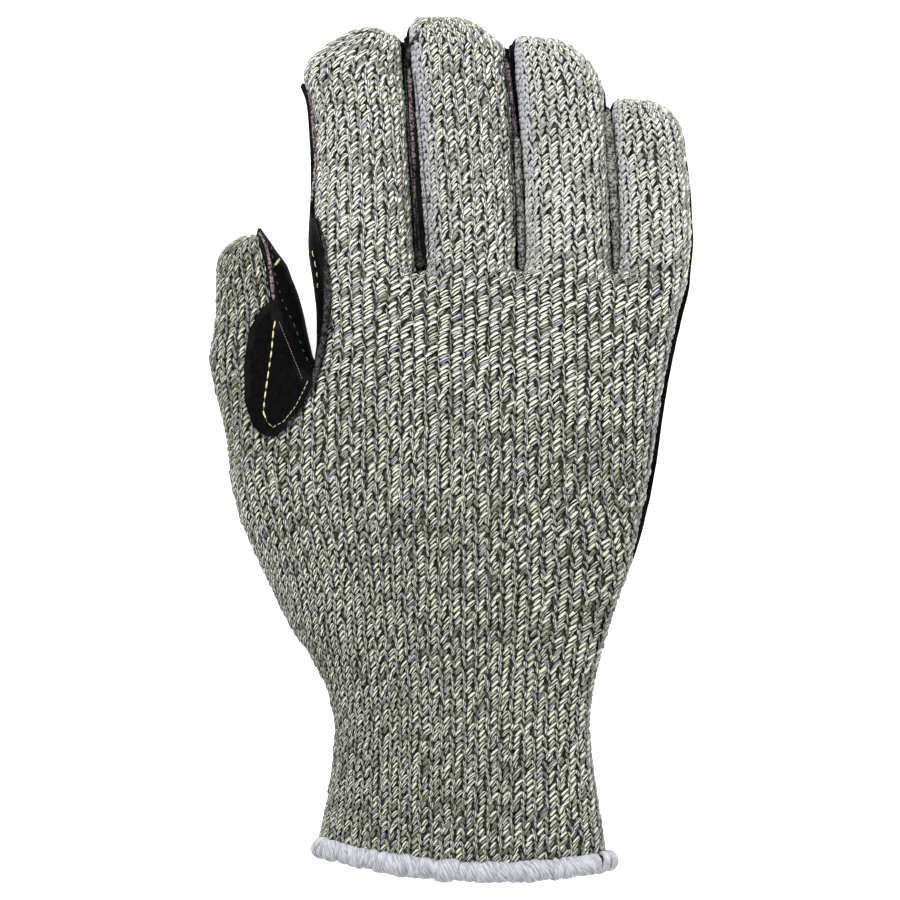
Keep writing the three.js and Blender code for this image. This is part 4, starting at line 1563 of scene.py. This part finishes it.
# %% [markdown]
# The fibres on a cut edge catch the light as pinkish flecks on near black. Strands with a paleness above 1
# turn to grey fuzz, painted shade at the foot of the finger gaps. Each strand holds one number for how pale
# it is, so that one finish serves all of them.

# %% Finish the cut edges
def edge_finish():
    finish = Finish("cut_edge", Roughness=0.95, Specular_IOR_Level=0.1)
    pale = finish.attribute("pale")
    nap = finish.noise(1400.0, 4.0)
    patchy = finish.noise(350.0, 3.0)
    light = finish.mix(pale.between(0.0, 1.0), srgb(74, 75, 74), srgb(158, 142, 146))
    # Painted shade: a paleness above 1 turns the strand to grey fuzz, used at the foot of the finger gaps.
    fuzz = pale.between(1.0, 2.0)
    light = finish.mix(fuzz, light, srgb(150, 151, 145))
    share = nap.between(0.38, 0.60) * patchy.between(0.30, 0.55, 0.35, 1.0)
    colour = finish.mix(share, finish.mix(fuzz, srgb(22, 20, 20), srgb(50, 50, 46)), light)
    return finish.done(colour, height=nap, depth=0.3 * MM)


edge_woolly = edge_finish()
for name, template, laid, pale in [
    ("cut_edges", RIM, rims, pale_rims), ("edge_hairs", HAIR, hairs, pale_hairs),
]:
    piece = linked(name, strand_mesh(name, template, np.concatenate(laid), {"pale": pale}))
    piece.data.materials.append(edge_woolly)
    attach(piece, "root")
    print(name, "has", len(piece.data.polygons), "faces")

# %% [markdown]
# The cuff's open end is overlocked with bulky white yarn. It is wound round the edge so densely that the
# hem reads as a thick cord of slanting turns. The turns are strands of the same kind as the stitches'
# legs, longer and fatter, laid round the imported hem's centre line. A twisted tube would look machined.

# %% Wind the hem
HEM_TURNS = 84
HEM_RADIUS = 2.3 * MM
HEM_Z, HEM_UP = 15.5 * MM, 12.1 * MM
HEM_LOWEST = -121.4 * MM
SQUARENESS = 2 / 2.2
TURN_SLANT = 4.5 * MM
HEM_SPREAD = 1.0 * MM
YARN_WIDTH, YARN_HEIGHT = 1.95 * MM, 1.0 * MM
YARN_ROUNDNESS = 0.35
UNEVEN = {"start": 0.35 * MM, "slant": 0.45, "radius": 0.08, "width": 0.24, "height": 0.10}
LOOK_AHEAD = 0.2 * MM
HEM_POINTS = 721
HEM_STRAND = strand_template(8, 16)


def hem_points(angles):
    """The hem's centre line, seen from the cuff, at angles round the wrist."""
    across = np.sign(np.cos(angles)) * np.abs(np.cos(angles)) ** SQUARENESS
    up = np.sign(np.sin(angles)) * np.abs(np.sin(angles)) ** SQUARENESS
    x = HEM_MIDDLE + (HEM_HALF + HEM_SPREAD) * across
    return np.stack([x, HEM_LOWEST + hem_bow(x), HEM_Z + HEM_UP * up], axis=-1)


def along_hem(lengths):
    """Centre points and two cross directions at lengths along the hem, outwards and towards the palm."""
    points = hem_points(np.linspace(0, 2 * math.pi, HEM_POINTS))
    steps = lengths_so_far(points)
    centres = along_run(np.mod(lengths, steps[-1]), points, steps)
    tangents = unit(along_run(np.mod(lengths + LOOK_AHEAD, steps[-1]), points, steps) - centres)
    outwards = unit(np.cross(np.array([0.0, 1.0, 0.0]), tangents))
    return centres, outwards, np.cross(outwards, tangents), steps[-1]


def wound_hem():
    """The hem as one mesh: a strand for each turn, from inside the cuff round its edge and back."""
    length = along_hem(np.zeros(1))[3]
    start = np.arange(HEM_TURNS)[:, None] * length / HEM_TURNS
    start = start + chance.normal(scale=UNEVEN["start"], size=(HEM_TURNS, 1))
    turn = np.linspace(0, 1, HEM_STRAND["rings"] + 1)[None]
    slant = TURN_SLANT * uneven(UNEVEN["slant"], HEM_TURNS, 1)
    centres, outwards, sideways, _ = along_hem(start + slant * (turn - 0.5))
    angle = (math.pi + 2 * math.pi * turn)[..., None]
    facing = np.cos(angle) * outwards + np.sin(angle) * sideways
    radius = HEM_RADIUS * uneven(UNEVEN["radius"], HEM_TURNS, 1, 1)
    taper = np.sin(math.pi * turn[0]) ** YARN_ROUNDNESS
    widths = YARN_WIDTH * taper * uneven(UNEVEN["width"], HEM_TURNS, 1)
    heights = YARN_HEIGHT * taper * uneven(UNEVEN["height"], HEM_TURNS, 1)
    points = strand_points(HEM_STRAND, centres + facing * radius, facing, widths, heights)
    points[..., 2] = np.maximum(points[..., 2], 0)
    return strand_mesh("wound_hem", HEM_STRAND, points, {"seed": chance.random(HEM_TURNS)})


def hem_finish():
    finish = Finish("hem_yarn", Roughness=0.95, Specular_IOR_Level=0.15)
    along, around = finish.strand_map()
    seed = finish.attribute("seed")
    fibre = finish.node(
        "CombineXYZ", {}, {0: along * 6.0 + seed * 40.0, 1: around * 20.0 + along * 30.0, 2: seed}
    )
    fuzz = finish.noise(1.2, 4.0, fibre)
    colour = finish.mix(fuzz.between(0.35, 0.6), srgb(138, 138, 148), srgb(190, 190, 196))
    return finish.done(colour, height=fuzz, depth=0.16 * MM)


hem = linked("wound_hem", wound_hem())
hem.data.materials.append(hem_finish())
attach(hem, "root")
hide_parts("cuff_hem")
print("hem:", HEM_TURNS, "turns,", len(hem.data.polygons), "faces")

# %% [markdown]
# The photograph shows the glove from straight above on a white ground. A long lens from far off gives
# nearly parallel lines of sight, soft large lamps give the even studio light, and the floor is pale.

# %% Set the floor, the lamps and the camera
FRAME_WIDTH = 259.2 * MM
CAMERA_HEIGHT = 2.2
SENSOR = 36.0
VIEW_CENTRE = (-0.14 * MM, -0.43 * MM)
SUBJECT_HEIGHT = 20 * MM
SKY_STRENGTH = 0.45


def floor():
    shape = bmesh.new()
    bmesh.ops.create_grid(shape, x_segments=2, y_segments=2, size=3)
    made = linked("floor", mesh_from(shape, "floor"))
    finish = Finish("pale_floor", Roughness=0.9, Emission_Color=(1, 1, 1, 1), Emission_Strength=0.9)
    made.data.materials.append(finish.done(srgb(250, 250, 250)))


def lamp(name, place, size, watts):
    """A square lamp that shines at the glove."""
    data = bpy.data.lights.new(name, "AREA")
    data.energy, data.size = watts, size
    made = linked(name, data)
    made.location = place
    made.rotation_euler = (-Vector(place)).to_track_quat("-Z", "Y").to_euler()


floor()
lamp("key", (-0.5, 0.8, 1.1), size=0.5, watts=22)
lamp("fill", (0.9, -0.2, 1.0), size=0.8, watts=8)
camera_data = bpy.data.cameras.new("camera")
camera_data.sensor_width = SENSOR
camera_data.lens = SENSOR * (CAMERA_HEIGHT - SUBJECT_HEIGHT) / FRAME_WIDTH
camera_data.clip_end = 20
camera = linked("camera", camera_data)
camera.location = (*VIEW_CENTRE, CAMERA_HEIGHT)
scene = bpy.context.scene
scene.camera = camera
scene.view_settings.view_transform = "Standard"
world = bpy.data.worlds.new("studio")
scene.world = world
world.use_nodes = True
sky = world.node_tree.nodes["Background"].inputs
sky["Color"].default_value = (1, 1, 1, 1)
sky["Strength"].default_value = SKY_STRENGTH
print("lens:", round(camera_data.lens), "mm")
